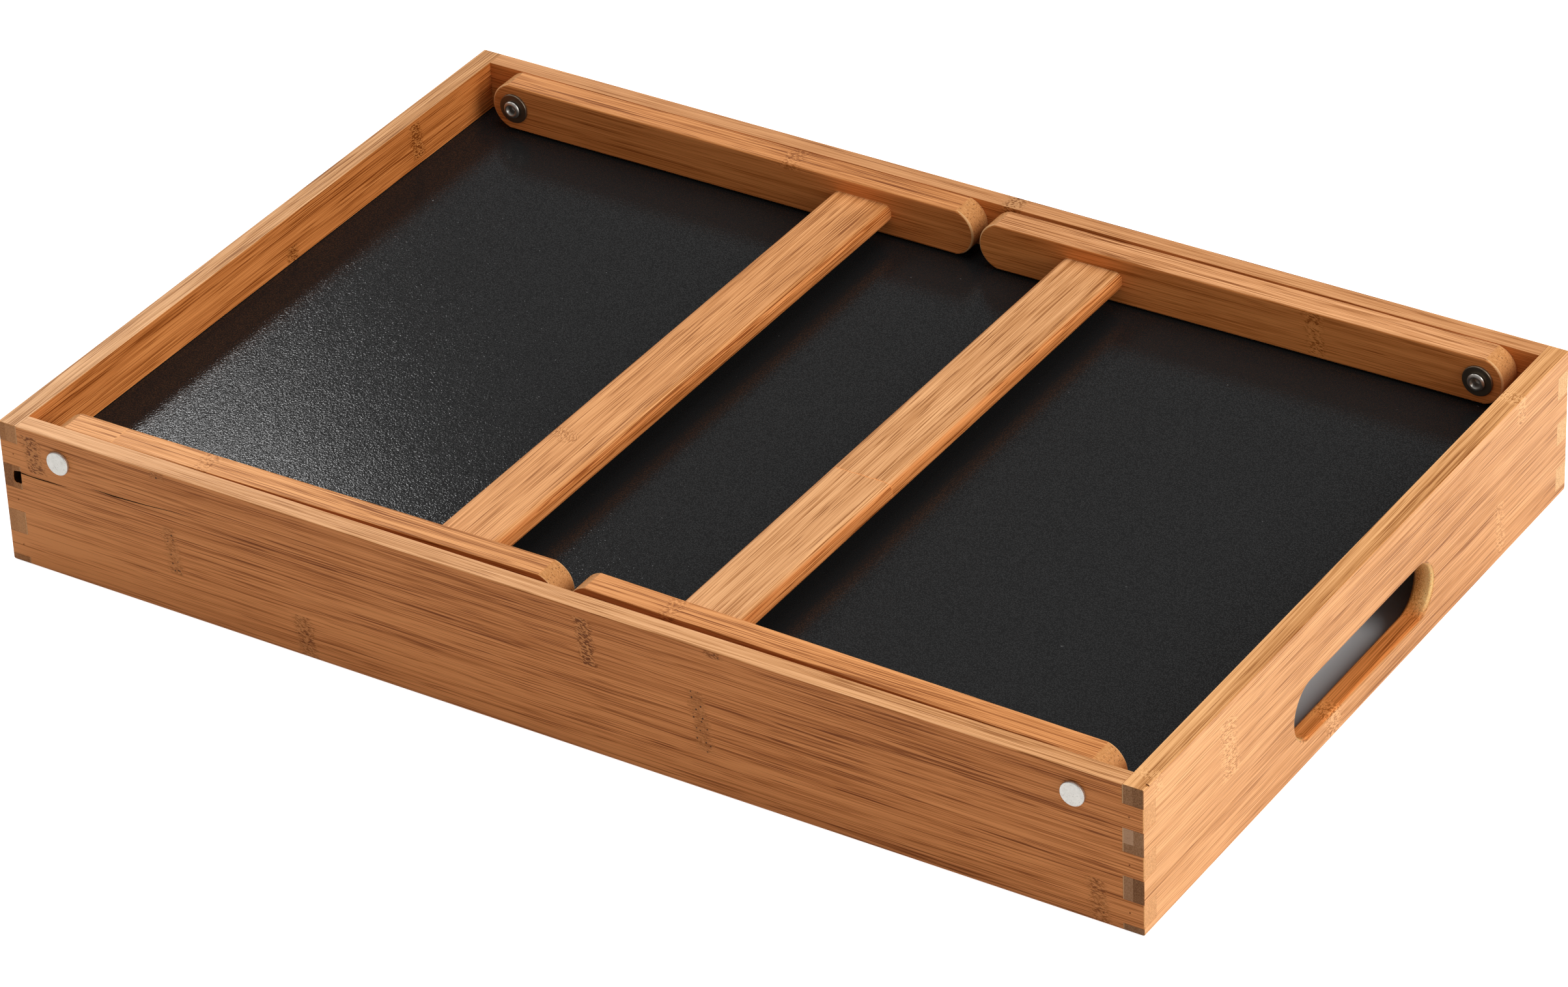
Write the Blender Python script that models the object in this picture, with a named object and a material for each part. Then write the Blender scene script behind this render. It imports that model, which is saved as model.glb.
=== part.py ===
"""Bamboo bed tray, lying on its serving-side rim with both leg frames folded into its underside.

Units are metres and +Z is up. X runs along the long rails and Y from the front rail to
the back rail. The origin lies under the middle of the tray, level with the rim that it
lies on. The serving side faces down, so the legs open upwards.
"""
import math

import bmesh
import bpy

# Tray frame
TRAY_LENGTH = 0.500
TRAY_WIDTH = 0.330
TRAY_HEIGHT = 0.063
RAIL_THICKNESS = 0.0085
OUTER_EDGE_ROUND = 0.0004
RIM_EDGE_ROUND = 0.0012

# Finger joints at the four corners, counted down from the underside edge
FIRST_FINGER = 0.008
FINGER_PITCH = 0.0103
SMALLEST_FINGER = 0.002

# Black panel in its grooves
PANEL_THICKNESS = 0.003
GROOVE_DEPTH = 0.004

# Handle slots through the end rails
SLOT_LENGTH = 0.1075
SLOT_HEIGHT = 0.024
SLOT_MOUTH_ROUND = 0.0015
SLOT_TO_GROOVE = 0.002

# Legs
PIVOT_INSET = 0.028
FOOT_GAP = 0.004
LEG_WIDTH = 0.0205
LEG_THICKNESS = 0.012
LEG_END_EASE = 0.00035
LEG_OUTER_EDGE_ROUND = 0.0004
LEG_INNER_EDGE_ROUND = 0.001
LEG_TOP_INSET = 0.0001
FRONT_TOE_IN = 0.003
BACK_TOE_IN = 0.0003

# Crossbars and the dowels that join them to the legs
BAR_WIDTH = 0.027
BAR_THICKNESS = 0.008
BAR_EDGE_ROUND = 0.003
BAR_FROM_FOOT = 0.0515
DOWEL_DIAMETER = 0.005
DOWEL_LENGTH = 0.016
DOWEL_SPACING = 0.013

# Rivets and their washers
RIVET_DIAMETER = 0.005
RIVET_HEAD_DIAMETER = 0.0100
RIVET_HEAD_THICKNESS = 0.001
RIVET_HEAD_ROUND = 0.0003
RIVET_TAIL_DIAMETER = 0.0075
RIVET_TAIL_THICKNESS = 0.0012
RIVET_BORE_DIAMETER = 0.003
RIVET_BORE_DEPTH = 0.006
WASHER_DIAMETER = 0.013
WASHER_THICKNESS = 0.001

# Brads driven through the long rails' fingers into the end rails
BRAD_DIAMETER = 0.0012
BRAD_LENGTH = 0.018
BRAD_SET = 0.0005
BRAD_INSET = 0.0058

# Clearances
FINGER_GAP = 0.0003
SEAT_GAP = 0.0003
PIN_CLEARANCE = 0.0003
GROOVE_GAP = 0.0003
GROOVE_END_GAP = 0.0005
HOLE_END_GAP = 0.0005
LEG_SIDE_GAP = 0.0003
LEG_SWEEP_GAP = 0.00025

# Smoothness of the round forms
EDGE_SEGMENTS = 3
BAR_EDGE_SEGMENTS = 4
END_ARC_SEGMENTS = 12
SLOT_ARC_SEGMENTS = 12
HEAD_SIDES = 32
PIN_SIDES = 20
BRAD_SIDES = 8
SMOOTH_ANGLE = math.radians(35)

# How far a cutter reaches past what it cuts
OVERSHOOT = 0.001

# Places that follow from the sizes above
HALF_LENGTH = TRAY_LENGTH / 2
HALF_WIDTH = TRAY_WIDTH / 2
INNER_HALF_LENGTH = HALF_LENGTH - RAIL_THICKNESS
INNER_HALF_WIDTH = HALF_WIDTH - RAIL_THICKNESS
LEG_END_RADIUS = LEG_WIDTH / 2 + LEG_END_EASE
PIVOT_X = HALF_LENGTH - PIVOT_INSET
PIVOT_Z = TRAY_HEIGHT - LEG_TOP_INSET - LEG_WIDTH / 2
LEG_REACH = PIVOT_X - FOOT_GAP / 2
PANEL_TOP = PIVOT_Z - LEG_END_RADIUS - LEG_SWEEP_GAP
PANEL_BOTTOM = PANEL_TOP - PANEL_THICKNESS
SLOT_TOP = PANEL_BOTTOM - GROOVE_GAP - SLOT_TO_GROOVE - SLOT_MOUTH_ROUND
SLOT_MIDDLE = SLOT_TOP - SLOT_HEIGHT / 2
BAR_CENTRE = LEG_REACH - BAR_FROM_FOOT
TOE_IN = {-1: FRONT_TOE_IN, 1: BACK_TOE_IN}

# Colours in linear light
BAMBOO = (0.58, 0.30, 0.12)
BAMBOO_SHADE = (0.50, 0.24, 0.09)
BAMBOO_PALE = (0.64, 0.38, 0.18)
PANEL_BLACK = (0.012, 0.010, 0.009)
ALUMINIUM = (0.80, 0.79, 0.77)
DARK_STEEL = (0.06, 0.06, 0.06)
PLAIN_STEEL = (0.35, 0.34, 0.33)


def clear_scene():
    """Remove every object that a new scene starts with."""
    for item in list(bpy.data.objects):
        bpy.data.objects.remove(item, do_unlink=True)


def make_material(name, colour, roughness, metallic):
    """A plain Principled material."""
    material = bpy.data.materials.new(name)
    material.use_nodes = True
    shader = material.node_tree.nodes["Principled BSDF"]
    shader.inputs["Base Color"].default_value = (*colour, 1.0)
    shader.inputs["Roughness"].default_value = roughness
    shader.inputs["Metallic"].default_value = metallic
    material.diffuse_color = (*colour, 1.0)
    return material


def long_rail_material():
    return make_material("long_rail_bamboo", BAMBOO_SHADE, 0.45, 0.0)


def end_rail_material():
    return make_material("end_rail_bamboo", BAMBOO, 0.45, 0.0)


def leg_material():
    return make_material("leg_bamboo", BAMBOO_PALE, 0.45, 0.0)


def crossbar_material():
    return make_material("crossbar_bamboo", BAMBOO_PALE, 0.5, 0.0)


def dowel_material():
    return make_material("dowel_wood", BAMBOO, 0.7, 0.0)


def panel_material():
    return make_material("panel_black", PANEL_BLACK, 0.4, 0.0)


def rivet_material():
    return make_material("rivet_aluminium", ALUMINIUM, 0.35, 1.0)


def washer_material():
    return make_material("washer_dark_steel", DARK_STEEL, 0.35, 1.0)


def brad_material():
    return make_material("brad_steel", PLAIN_STEEL, 0.4, 1.0)


def mesh_from(bm, name, smooth=False):
    """Turn a bmesh into mesh data with its faces pointing out."""
    bmesh.ops.recalc_face_normals(bm, faces=bm.faces)
    mesh = bpy.data.meshes.new(name)
    bm.to_mesh(mesh)
    bm.free()
    if smooth:
        mesh.shade_smooth()
        mesh.set_sharp_from_angle(angle=SMOOTH_ANGLE)
    return mesh


def place(name, mesh, material=None, location=(0, 0, 0), rotation=(0, 0, 0), parent=None):
    """Put mesh data into the scene as a named object."""
    item = bpy.data.objects.new(name, mesh)
    bpy.context.scene.collection.objects.link(item)
    item.location = location
    item.rotation_euler = rotation
    item.parent = parent
    if material is not None and not mesh.materials:
        mesh.materials.append(material)
    return item


def place_cutter(name, mesh):
    """Put a cutting shape into the scene, drawn as wire and never rendered."""
    item = place(name, mesh)
    item.hide_render = True
    item.display_type = "WIRE"
    return item


def add_boolean(item, cutter, operation="DIFFERENCE"):
    modifier = item.modifiers.new(cutter.name, "BOOLEAN")
    modifier.operation = operation
    modifier.solver = "EXACT"
    modifier.object = cutter


def add_box(bm, low, high):
    """Add a closed box between two corners."""
    corners = [
        bm.verts.new((x, y, z))
        for x in (low[0], high[0])
        for y in (low[1], high[1])
        for z in (low[2], high[2])
    ]
    for face in ((0, 1, 3, 2), (4, 6, 7, 5), (0, 4, 5, 1), (2, 3, 7, 6), (0, 2, 6, 4), (1, 5, 7, 3)):
        bm.faces.new([corners[index] for index in face])


def add_prism(bm, outline, near, far):
    """Join an outline in the XZ plane to itself across Y; near and far give Y for each X."""
    front = [bm.verts.new((x, near(x), z)) for x, z in outline]
    back = [bm.verts.new((x, far(x), z)) for x, z in outline]
    bm.faces.new(front)
    bm.faces.new(back)
    count = len(outline)
    for index in range(count):
        following = (index + 1) % count
        bm.faces.new((front[index], front[following], back[following], back[index]))


def join_rings(bm, rings):
    """Close a run of rings, all of as many points, into one body."""
    bm.faces.new(rings[0])
    bm.faces.new(rings[-1])
    for ring, following in zip(rings, rings[1:]):
        for index in range(len(ring)):
            after = (index + 1) % len(ring)
            bm.faces.new((ring[index], ring[after], following[after], following[index]))


def round_steps(radius):
    """A quarter round in steps: how far it is drawn in, and how deep it lies, from the face to the side."""
    turns = [math.pi / 2 * step / EDGE_SEGMENTS for step in range(EDGE_SEGMENTS + 1)]
    return [(radius * (1 - math.sin(turn)), radius * (1 - math.cos(turn))) for turn in turns]


def arc(centre_x, centre_z, radius, start, end, segments):
    """Points along an arc in the XZ plane, angles in radians from +X towards +Z."""
    return [
        (centre_x + radius * math.cos(angle), centre_z + radius * math.sin(angle))
        for angle in (start + (end - start) * step / segments for step in range(segments + 1))
    ]


def add_cylinder(bm, x, z, radius, y_start, y_end, sides):
    """Add a closed cylinder whose axis runs along Y."""
    outline = arc(x, z, radius, 0, 2 * math.pi, sides)[:-1]
    add_prism(bm, outline, lambda _: y_start, lambda _: y_end)


def turned_mesh(name, profile, sides):
    """Turn a closed profile of (radius, height) points about the local Z axis."""
    bm = bmesh.new()
    rings = []
    for radius, height in profile:
        if radius == 0:
            rings.append([bm.verts.new((0, 0, height))])
            continue
        angles = [2 * math.pi * step / sides for step in range(sides)]
        rings.append([bm.verts.new((radius * math.cos(a), radius * math.sin(a), height)) for a in angles])
    pairs = list(zip(rings, rings[1:]))
    if profile[0][0] > 0:
        pairs.append((rings[-1], rings[0]))
    for lower, upper in pairs:
        for step in range(sides):
            following = (step + 1) % sides
            corners = [lower[step % len(lower)], lower[following % len(lower)]]
            corners += [upper[following % len(upper)], upper[step % len(upper)]]
            bm.faces.new(list(dict.fromkeys(corners)))
    return mesh_from(bm, name, smooth=True)


def side_name(side_x, side_y):
    """Words for a corner of the tray: front or back, then left or right."""
    return f"{'front' if side_y < 0 else 'back'}_{'left' if side_x < 0 else 'right'}"


def finger_edges():
    """Heights of the finger joints' edges, from the underside edge down to the rim."""
    whole = int((TRAY_HEIGHT - FIRST_FINGER - SMALLEST_FINGER) / FINGER_PITCH)
    edges = [TRAY_HEIGHT]
    edges += [TRAY_HEIGHT - FIRST_FINGER - FINGER_PITCH * count for count in range(whole + 1)]
    return edges + [0.0]


def fingers(first):
    """Bottom and top of every second finger; first is 0 for the end rails, 1 for the long rails."""
    edges = finger_edges()
    return [(edges[index + 1], edges[index]) for index in range(first, len(edges) - 1, 2)]


def notch_span(bottom, top):
    """The height of the notch that a finger fits, open past the tray's own edges."""
    low = -OVERSHOOT if bottom <= 0 else bottom - FINGER_GAP / 2
    high = TRAY_HEIGHT + OVERSHOOT if top >= TRAY_HEIGHT else top + FINGER_GAP / 2
    return low, high


def end_finger_notches():
    """What the long rails lose at their ends to the end rails' fingers."""
    bm = bmesh.new()
    for bottom, top in fingers(0):
        low, high = notch_span(bottom, top)
        for side in (-1, 1):
            reach = sorted((side * (INNER_HALF_LENGTH - FINGER_GAP), side * (HALF_LENGTH + OVERSHOOT)))
            add_box(bm, (reach[0], -HALF_WIDTH - OVERSHOOT, low), (reach[1], HALF_WIDTH + OVERSHOOT, high))
    return place_cutter("cut_end_fingers", mesh_from(bm, "cut_end_fingers"))


def long_finger_notches():
    """What the end rails lose at their ends to the long rails' fingers."""
    bm = bmesh.new()
    for bottom, top in fingers(1):
        low, high = notch_span(bottom, top)
        for side in (-1, 1):
            reach = sorted((side * (INNER_HALF_WIDTH - FINGER_GAP), side * (HALF_WIDTH + OVERSHOOT)))
            add_box(bm, (-HALF_LENGTH - OVERSHOOT, reach[0], low), (HALF_LENGTH + OVERSHOOT, reach[1], high))
    return place_cutter("cut_long_fingers", mesh_from(bm, "cut_long_fingers"))


def outer_ring(bm, inset, height):
    """The tray's outline at a height, drawn in by inset, its four corners rounded."""
    x = HALF_LENGTH - inset - OUTER_EDGE_ROUND
    y = HALF_WIDTH - inset - OUTER_EDGE_ROUND
    outline = []
    for turn, (side_x, side_y) in enumerate(((1, 1), (-1, 1), (-1, -1), (1, -1))):
        start = turn * math.pi / 2
        outline += arc(side_x * x, side_y * y, OUTER_EDGE_ROUND, start, start + math.pi / 2, EDGE_SEGMENTS)
    return [bm.verts.new((*point, height)) for point in outline]


def outer_shape():
    """The tray's outside, rounded more at the serving rim than elsewhere, which trims all four rails."""
    levels = round_steps(RIM_EDGE_ROUND)
    levels += [(inset, TRAY_HEIGHT - depth) for inset, depth in reversed(round_steps(OUTER_EDGE_ROUND))]
    bm = bmesh.new()
    join_rings(bm, [outer_ring(bm, inset, height) for inset, height in levels])
    return place_cutter("trim_outer_shape", mesh_from(bm, "trim_outer_shape"))


def panel_groove():
    """The panel's own place, with its clearances, cut out of the four rails."""
    bm = bmesh.new()
    half_x = INNER_HALF_LENGTH + GROOVE_DEPTH
    half_y = INNER_HALF_WIDTH + GROOVE_DEPTH
    add_box(bm, (-half_x, -half_y, PANEL_BOTTOM - GROOVE_GAP), (half_x, half_y, PANEL_TOP + GROOVE_GAP))
    return place_cutter("cut_panel_groove", mesh_from(bm, "cut_panel_groove"))


def slot_ring(bm, x, grow):
    """One section of a handle slot at X, a stadium made larger all round by grow."""
    radius = SLOT_HEIGHT / 2 + grow
    straight = SLOT_LENGTH / 2 - SLOT_HEIGHT / 2
    quarter = math.pi / 2
    outline = arc(straight, SLOT_MIDDLE, radius, -quarter, quarter, SLOT_ARC_SEGMENTS)
    outline += arc(-straight, SLOT_MIDDLE, radius, quarter, 3 * quarter, SLOT_ARC_SEGMENTS)
    return [bm.verts.new((x, y, z)) for y, z in outline]


def slot_sections():
    """Depth through the end rail and growth of the slot there, rounded over at both mouths."""
    mouth = round_steps(SLOT_MOUTH_ROUND)
    outer = [(depth, grow) for depth, grow in reversed(mouth)]
    inner = [(RAIL_THICKNESS - depth, grow) for depth, grow in mouth]
    past_outer = (-OVERSHOOT, SLOT_MOUTH_ROUND)
    past_inner = (RAIL_THICKNESS + OVERSHOOT, SLOT_MOUTH_ROUND)
    return [past_outer] + outer + inner + [past_inner]


def handle_slots():
    """Both handle slots, each a stadium through an end rail with rounded-over mouths."""
    bm = bmesh.new()
    for side in (-1, 1):
        join_rings(bm, [slot_ring(bm, side * (HALF_LENGTH - depth), grow) for depth, grow in slot_sections()])
    return place_cutter("cut_handle_slots", mesh_from(bm, "cut_handle_slots"))


def rivet_holes():
    """Four holes through the long rails and the legs, on the fold axes."""
    bm = bmesh.new()
    radius = RIVET_DIAMETER / 2 + PIN_CLEARANCE
    for side_y in (-1, 1):
        start = side_y * (HALF_WIDTH + OVERSHOOT)
        end = side_y * (leg_inner_y(side_y, LEG_END_RADIUS) - OVERSHOOT)
        for side_x in (-1, 1):
            add_cylinder(bm, side_x * PIVOT_X, PIVOT_Z, radius, start, end, PIN_SIDES)
    return place_cutter("cut_rivet_holes", mesh_from(bm, "cut_rivet_holes"))


def brad_places():
    """Sides and height of every brad: one in each of the long rails' fingers."""
    return [
        (side_x, side_y, index, (bottom + top) / 2)
        for side_x in (-1, 1)
        for side_y in (-1, 1)
        for index, (bottom, top) in enumerate(fingers(1))
    ]


def brad_holes():
    """Holes for the brads, open at the long rails' outer faces."""
    bm = bmesh.new()
    radius = BRAD_DIAMETER / 2 + PIN_CLEARANCE
    for side_x, side_y, _, height in brad_places():
        start = side_y * (HALF_WIDTH + OVERSHOOT)
        end = side_y * (HALF_WIDTH - BRAD_SET - BRAD_LENGTH - HOLE_END_GAP)
        add_cylinder(bm, side_x * (HALF_LENGTH - BRAD_INSET), height, radius, start, end, BRAD_SIDES)
    return place_cutter("cut_brad_holes", mesh_from(bm, "cut_brad_holes"))


def leg_outer_y(side_y, distance):
    """Distance of a leg's outer face from the middle plane, at a distance from the fold axis."""
    share = (distance + LEG_END_RADIUS) / (LEG_REACH + LEG_END_RADIUS)
    return INNER_HALF_WIDTH - LEG_SIDE_GAP - TOE_IN[side_y] * share


def leg_inner_y(side_y, distance):
    """Distance of a leg's inner face from the middle plane, likewise."""
    return leg_outer_y(side_y, distance) - LEG_THICKNESS


def dowel_places():
    """Frame side, leg side, place along the leg and middle of every dowel."""
    return [
        (side_x, side_y, step, BAR_CENTRE + step * DOWEL_SPACING / 2)
        for side_x in (-1, 1)
        for side_y in (-1, 1)
        for step in (-1, 1)
    ]


def dowel_holes():
    """Blind holes for the dowels, half in a leg and half in a crossbar."""
    bm = bmesh.new()
    radius = DOWEL_DIAMETER / 2 + PIN_CLEARANCE
    reach = DOWEL_LENGTH / 2 + HOLE_END_GAP
    for side_x, side_y, _, distance in dowel_places():
        middle = leg_inner_y(side_y, distance)
        x = side_x * (PIVOT_X - distance)
        add_cylinder(bm, x, PIVOT_Z, radius, side_y * (middle - reach), side_y * (middle + reach), PIN_SIDES)
    return place_cutter("cut_dowel_holes", mesh_from(bm, "cut_dowel_holes"))


def make_long_rail(name, side_y, material, cutters):
    """A long rail: notched at its ends, grooved for the panel and drilled for rivets and brads."""
    bm = bmesh.new()
    span = sorted((side_y * INNER_HALF_WIDTH, side_y * (HALF_WIDTH + OVERSHOOT)))
    add_box(
        bm,
        (-HALF_LENGTH - OVERSHOOT, span[0], -OVERSHOOT),
        (HALF_LENGTH + OVERSHOOT, span[1], TRAY_HEIGHT + OVERSHOOT),
    )
    rail = place(name, mesh_from(bm, name), material)
    add_boolean(rail, cutters["outer"], "INTERSECT")
    for cut in ("end_fingers", "groove", "rivets", "brads"):
        add_boolean(rail, cutters[cut])


def make_end_rail(name, side_x, material, cutters):
    """An end rail: notched at its ends, grooved for the panel, with its handle slot."""
    bm = bmesh.new()
    span = sorted((side_x * INNER_HALF_LENGTH, side_x * (HALF_LENGTH + OVERSHOOT)))
    add_box(
        bm,
        (span[0], -HALF_WIDTH - OVERSHOOT, -OVERSHOOT),
        (span[1], HALF_WIDTH + OVERSHOOT, TRAY_HEIGHT + OVERSHOOT),
    )
    rail = place(name, mesh_from(bm, name), material)
    add_boolean(rail, cutters["outer"], "INTERSECT")
    for cut in ("long_fingers", "groove", "slots", "brads"):
        add_boolean(rail, cutters[cut])


def make_panel(material):
    """The flat black panel, its four edges held in the rails' grooves."""
    bm = bmesh.new()
    half_x = INNER_HALF_LENGTH + GROOVE_DEPTH - GROOVE_END_GAP
    half_y = INNER_HALF_WIDTH + GROOVE_DEPTH - GROOVE_END_GAP
    add_box(bm, (-half_x, -half_y, PANEL_BOTTOM), (half_x, half_y, PANEL_TOP))
    place("panel", mesh_from(bm, "panel"), material)


def leg_outline(side_x, inset):
    """A leg's side view about its fold axis, drawn in by inset: straight sides and nearly half-round ends."""
    radius = LEG_END_RADIUS - inset
    spread = math.asin((LEG_WIDTH / 2 - inset) / radius)
    foot = arc(LEG_REACH - LEG_END_RADIUS, 0, radius, -spread, spread, END_ARC_SEGMENTS)
    hinge_end = arc(0, 0, radius, math.pi - spread, math.pi + spread, END_ARC_SEGMENTS)
    return [(-side_x * x, z) for x, z in foot + hinge_end]


def leg_levels():
    """How far a leg's outline is drawn in, and how deep under the leg's outer face, from face to face."""
    inner = reversed(round_steps(LEG_INNER_EDGE_ROUND))
    return round_steps(LEG_OUTER_EDGE_ROUND) + [(inset, LEG_THICKNESS - depth) for inset, depth in inner]


def leg_ring(bm, side_x, side_y, inset, depth):
    """One ring round a leg: its side view drawn in by inset, at a depth under its outer face."""
    ring = []
    for x, z in leg_outline(side_x, inset):
        y = leg_outer_y(side_y, -side_x * x) - depth
        ring.append(bm.verts.new((x, side_y * y, z)))
    return ring


def make_leg(name, side_x, side_y, frame, material, cutters):
    """A leg, pivoted near one end and drilled for its rivet and its two dowels."""
    bm = bmesh.new()
    join_rings(bm, [leg_ring(bm, side_x, side_y, inset, depth) for inset, depth in leg_levels()])
    leg = place(name, mesh_from(bm, name, smooth=True), material, parent=frame)
    add_boolean(leg, cutters["rivets"])
    add_boolean(leg, cutters["dowels"])


def bar_outline(centre):
    """A crossbar's section: a flat slat with rounded long edges."""
    half_x = BAR_WIDTH / 2 - BAR_EDGE_ROUND
    half_z = BAR_THICKNESS / 2 - BAR_EDGE_ROUND
    corners = ((half_x, half_z, 0), (-half_x, half_z, 1), (-half_x, -half_z, 2), (half_x, -half_z, 3))
    outline = []
    for x, z, turn in corners:
        start = turn * math.pi / 2
        outline += arc(centre + x, z, BAR_EDGE_ROUND, start, start + math.pi / 2, BAR_EDGE_SEGMENTS)
    return outline


def make_crossbar(name, side_x, frame, material, cutters):
    """A crossbar between two legs, its ends cut to the angle of the legs' inner faces."""
    bm = bmesh.new()
    add_prism(
        bm,
        bar_outline(-side_x * BAR_CENTRE),
        lambda x: -(leg_inner_y(-1, -side_x * x) - SEAT_GAP),
        lambda x: leg_inner_y(1, -side_x * x) - SEAT_GAP,
    )
    bar = place(name, mesh_from(bm, name, smooth=True), material, parent=frame)
    add_boolean(bar, cutters["dowels"])


def make_dowels(frames, material):
    """The dowels inside the joints between crossbars and legs, two at each joint."""
    length = DOWEL_LENGTH / 2
    profile = [(0, -length), (DOWEL_DIAMETER / 2, -length), (DOWEL_DIAMETER / 2, length), (0, length)]
    mesh = turned_mesh("dowel", profile, PIN_SIDES)
    for side_x, side_y, step, distance in dowel_places():
        place(
            f"dowel_{side_name(side_x, side_y)}_{'outer' if step < 0 else 'inner'}",
            mesh,
            material,
            (-side_x * distance, side_y * leg_inner_y(side_y, distance), 0),
            (math.pi / 2, 0, 0),
            frames[side_x],
        )


def rivet_grip(side_y):
    """What a rivet holds together, from the rail's outer face to the washer's outer face."""
    return HALF_WIDTH - leg_inner_y(side_y, 0) + SEAT_GAP + WASHER_THICKNESS


def rivet_mesh(side_y):
    """A rivet with a flat head, and a hollow end flared over the washer; Z points out at the head."""
    head = RIVET_HEAD_DIAMETER / 2
    tail = RIVET_TAIL_DIAMETER / 2
    shank = RIVET_DIAMETER / 2
    bore = RIVET_BORE_DIAMETER / 2
    top = SEAT_GAP + RIVET_HEAD_THICKNESS
    under = -rivet_grip(side_y) - SEAT_GAP
    end = under - RIVET_TAIL_THICKNESS
    profile = [(0, top), (head - RIVET_HEAD_ROUND, top), (head, top - RIVET_HEAD_ROUND), (head, SEAT_GAP)]
    profile += [(shank, SEAT_GAP), (shank, under), (tail, under), (tail, (under + end) / 2)]
    profile += [((tail + bore) / 2, end), (bore, (under + end) / 2), (bore, end + RIVET_BORE_DEPTH)]
    profile += [(0, end + RIVET_BORE_DEPTH)]
    return turned_mesh(f"rivet_{'front' if side_y < 0 else 'back'}", profile, HEAD_SIDES)


def make_rivets(material):
    """One rivet at each fold axis end, with its head on the long rail's outer face."""
    for side_y in (-1, 1):
        mesh = rivet_mesh(side_y)
        for side_x in (-1, 1):
            place(
                f"rivet_{side_name(side_x, side_y)}",
                mesh,
                material,
                (side_x * PIVOT_X, side_y * HALF_WIDTH, PIVOT_Z),
                (-side_y * math.pi / 2, 0, 0),
            )


def make_washers(frames, material):
    """One washer under each rivet's flared end, on the leg's inner face."""
    inner = RIVET_DIAMETER / 2 + PIN_CLEARANCE
    outer = WASHER_DIAMETER / 2
    profile = [(inner, 0), (outer, 0), (outer, WASHER_THICKNESS), (inner, WASHER_THICKNESS)]
    mesh = turned_mesh("washer", profile, HEAD_SIDES)
    for side_x in (-1, 1):
        for side_y in (-1, 1):
            place(
                f"washer_{side_name(side_x, side_y)}",
                mesh,
                material,
                (0, side_y * (leg_inner_y(side_y, 0) - SEAT_GAP), 0),
                (side_y * math.pi / 2, 0, 0),
                frames[side_x],
            )


def make_brads(material):
    """Headless brads set just under the long rails' outer faces, one in each finger."""
    radius = BRAD_DIAMETER / 2
    profile = [(0, 0), (radius, 0), (radius, -BRAD_LENGTH), (0, -BRAD_LENGTH)]
    mesh = turned_mesh("brad", profile, BRAD_SIDES)
    for side_x, side_y, index, height in brad_places():
        place(
            f"brad_{side_name(side_x, side_y)}_{index + 1}",
            mesh,
            material,
            (side_x * (HALF_LENGTH - BRAD_INSET), side_y * (HALF_WIDTH - BRAD_SET), height),
            (-side_y * math.pi / 2, 0, 0),
        )


def make_frame_empty(name, side_x):
    """An empty on a leg frame's fold axis, which carries all that folds with it."""
    empty = bpy.data.objects.new(name, None)
    bpy.context.scene.collection.objects.link(empty)
    empty.location = (side_x * PIVOT_X, 0, PIVOT_Z)
    return empty


def make_cutters():
    """Every cutting shape, by what it cuts."""
    return {
        "outer": outer_shape(),
        "end_fingers": end_finger_notches(),
        "long_fingers": long_finger_notches(),
        "groove": panel_groove(),
        "slots": handle_slots(),
        "rivets": rivet_holes(),
        "brads": brad_holes(),
        "dowels": dowel_holes(),
    }


def make_tray_box(cutters):
    """The four rails, their brads and the panel."""
    long_bamboo = long_rail_material()
    make_long_rail("front_rail", -1, long_bamboo, cutters)
    make_long_rail("back_rail", 1, long_bamboo, cutters)
    end_bamboo = end_rail_material()
    make_end_rail("left_rail", -1, end_bamboo, cutters)
    make_end_rail("right_rail", 1, end_bamboo, cutters)
    make_panel(panel_material())
    make_brads(brad_material())


def make_leg_frames(cutters):
    """Both U-shaped leg frames, folded, with their rivets and washers."""
    frames = {
        -1: make_frame_empty("left_leg_frame", -1),
        1: make_frame_empty("right_leg_frame", 1),
    }
    leg_bamboo = leg_material()
    bar_bamboo = crossbar_material()
    for side_x, frame in frames.items():
        for side_y in (-1, 1):
            make_leg(f"leg_{side_name(side_x, side_y)}", side_x, side_y, frame, leg_bamboo, cutters)
        make_crossbar(f"crossbar_{'left' if side_x < 0 else 'right'}", side_x, frame, bar_bamboo, cutters)
    make_dowels(frames, dowel_material())
    make_washers(frames, washer_material())
    make_rivets(rivet_material())


def main():
    clear_scene()
    cutters = make_cutters()
    make_tray_box(cutters)
    make_leg_frames(cutters)


main()
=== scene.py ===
import math

import bmesh
import bpy
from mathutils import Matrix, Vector


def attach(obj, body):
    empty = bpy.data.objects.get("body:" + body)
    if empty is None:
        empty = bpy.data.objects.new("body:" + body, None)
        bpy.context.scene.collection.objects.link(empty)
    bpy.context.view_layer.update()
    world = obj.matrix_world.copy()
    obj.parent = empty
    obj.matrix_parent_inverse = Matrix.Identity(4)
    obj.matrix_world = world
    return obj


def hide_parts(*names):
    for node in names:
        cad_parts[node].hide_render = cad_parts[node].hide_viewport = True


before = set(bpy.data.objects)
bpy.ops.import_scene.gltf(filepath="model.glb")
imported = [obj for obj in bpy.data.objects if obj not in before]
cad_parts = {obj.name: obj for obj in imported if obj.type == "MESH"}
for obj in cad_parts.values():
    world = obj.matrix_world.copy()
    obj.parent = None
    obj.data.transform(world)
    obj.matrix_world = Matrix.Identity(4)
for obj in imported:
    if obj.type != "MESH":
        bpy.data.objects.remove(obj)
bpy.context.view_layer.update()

# Sizes of the tray, in metres
HALF_LENGTH = 0.250
HALF_WIDTH = 0.165
HEIGHT = 0.063
RAIL = 0.0085
INNER = INNER_X, INNER_Y = HALF_LENGTH - RAIL, HALF_WIDTH - RAIL
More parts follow.
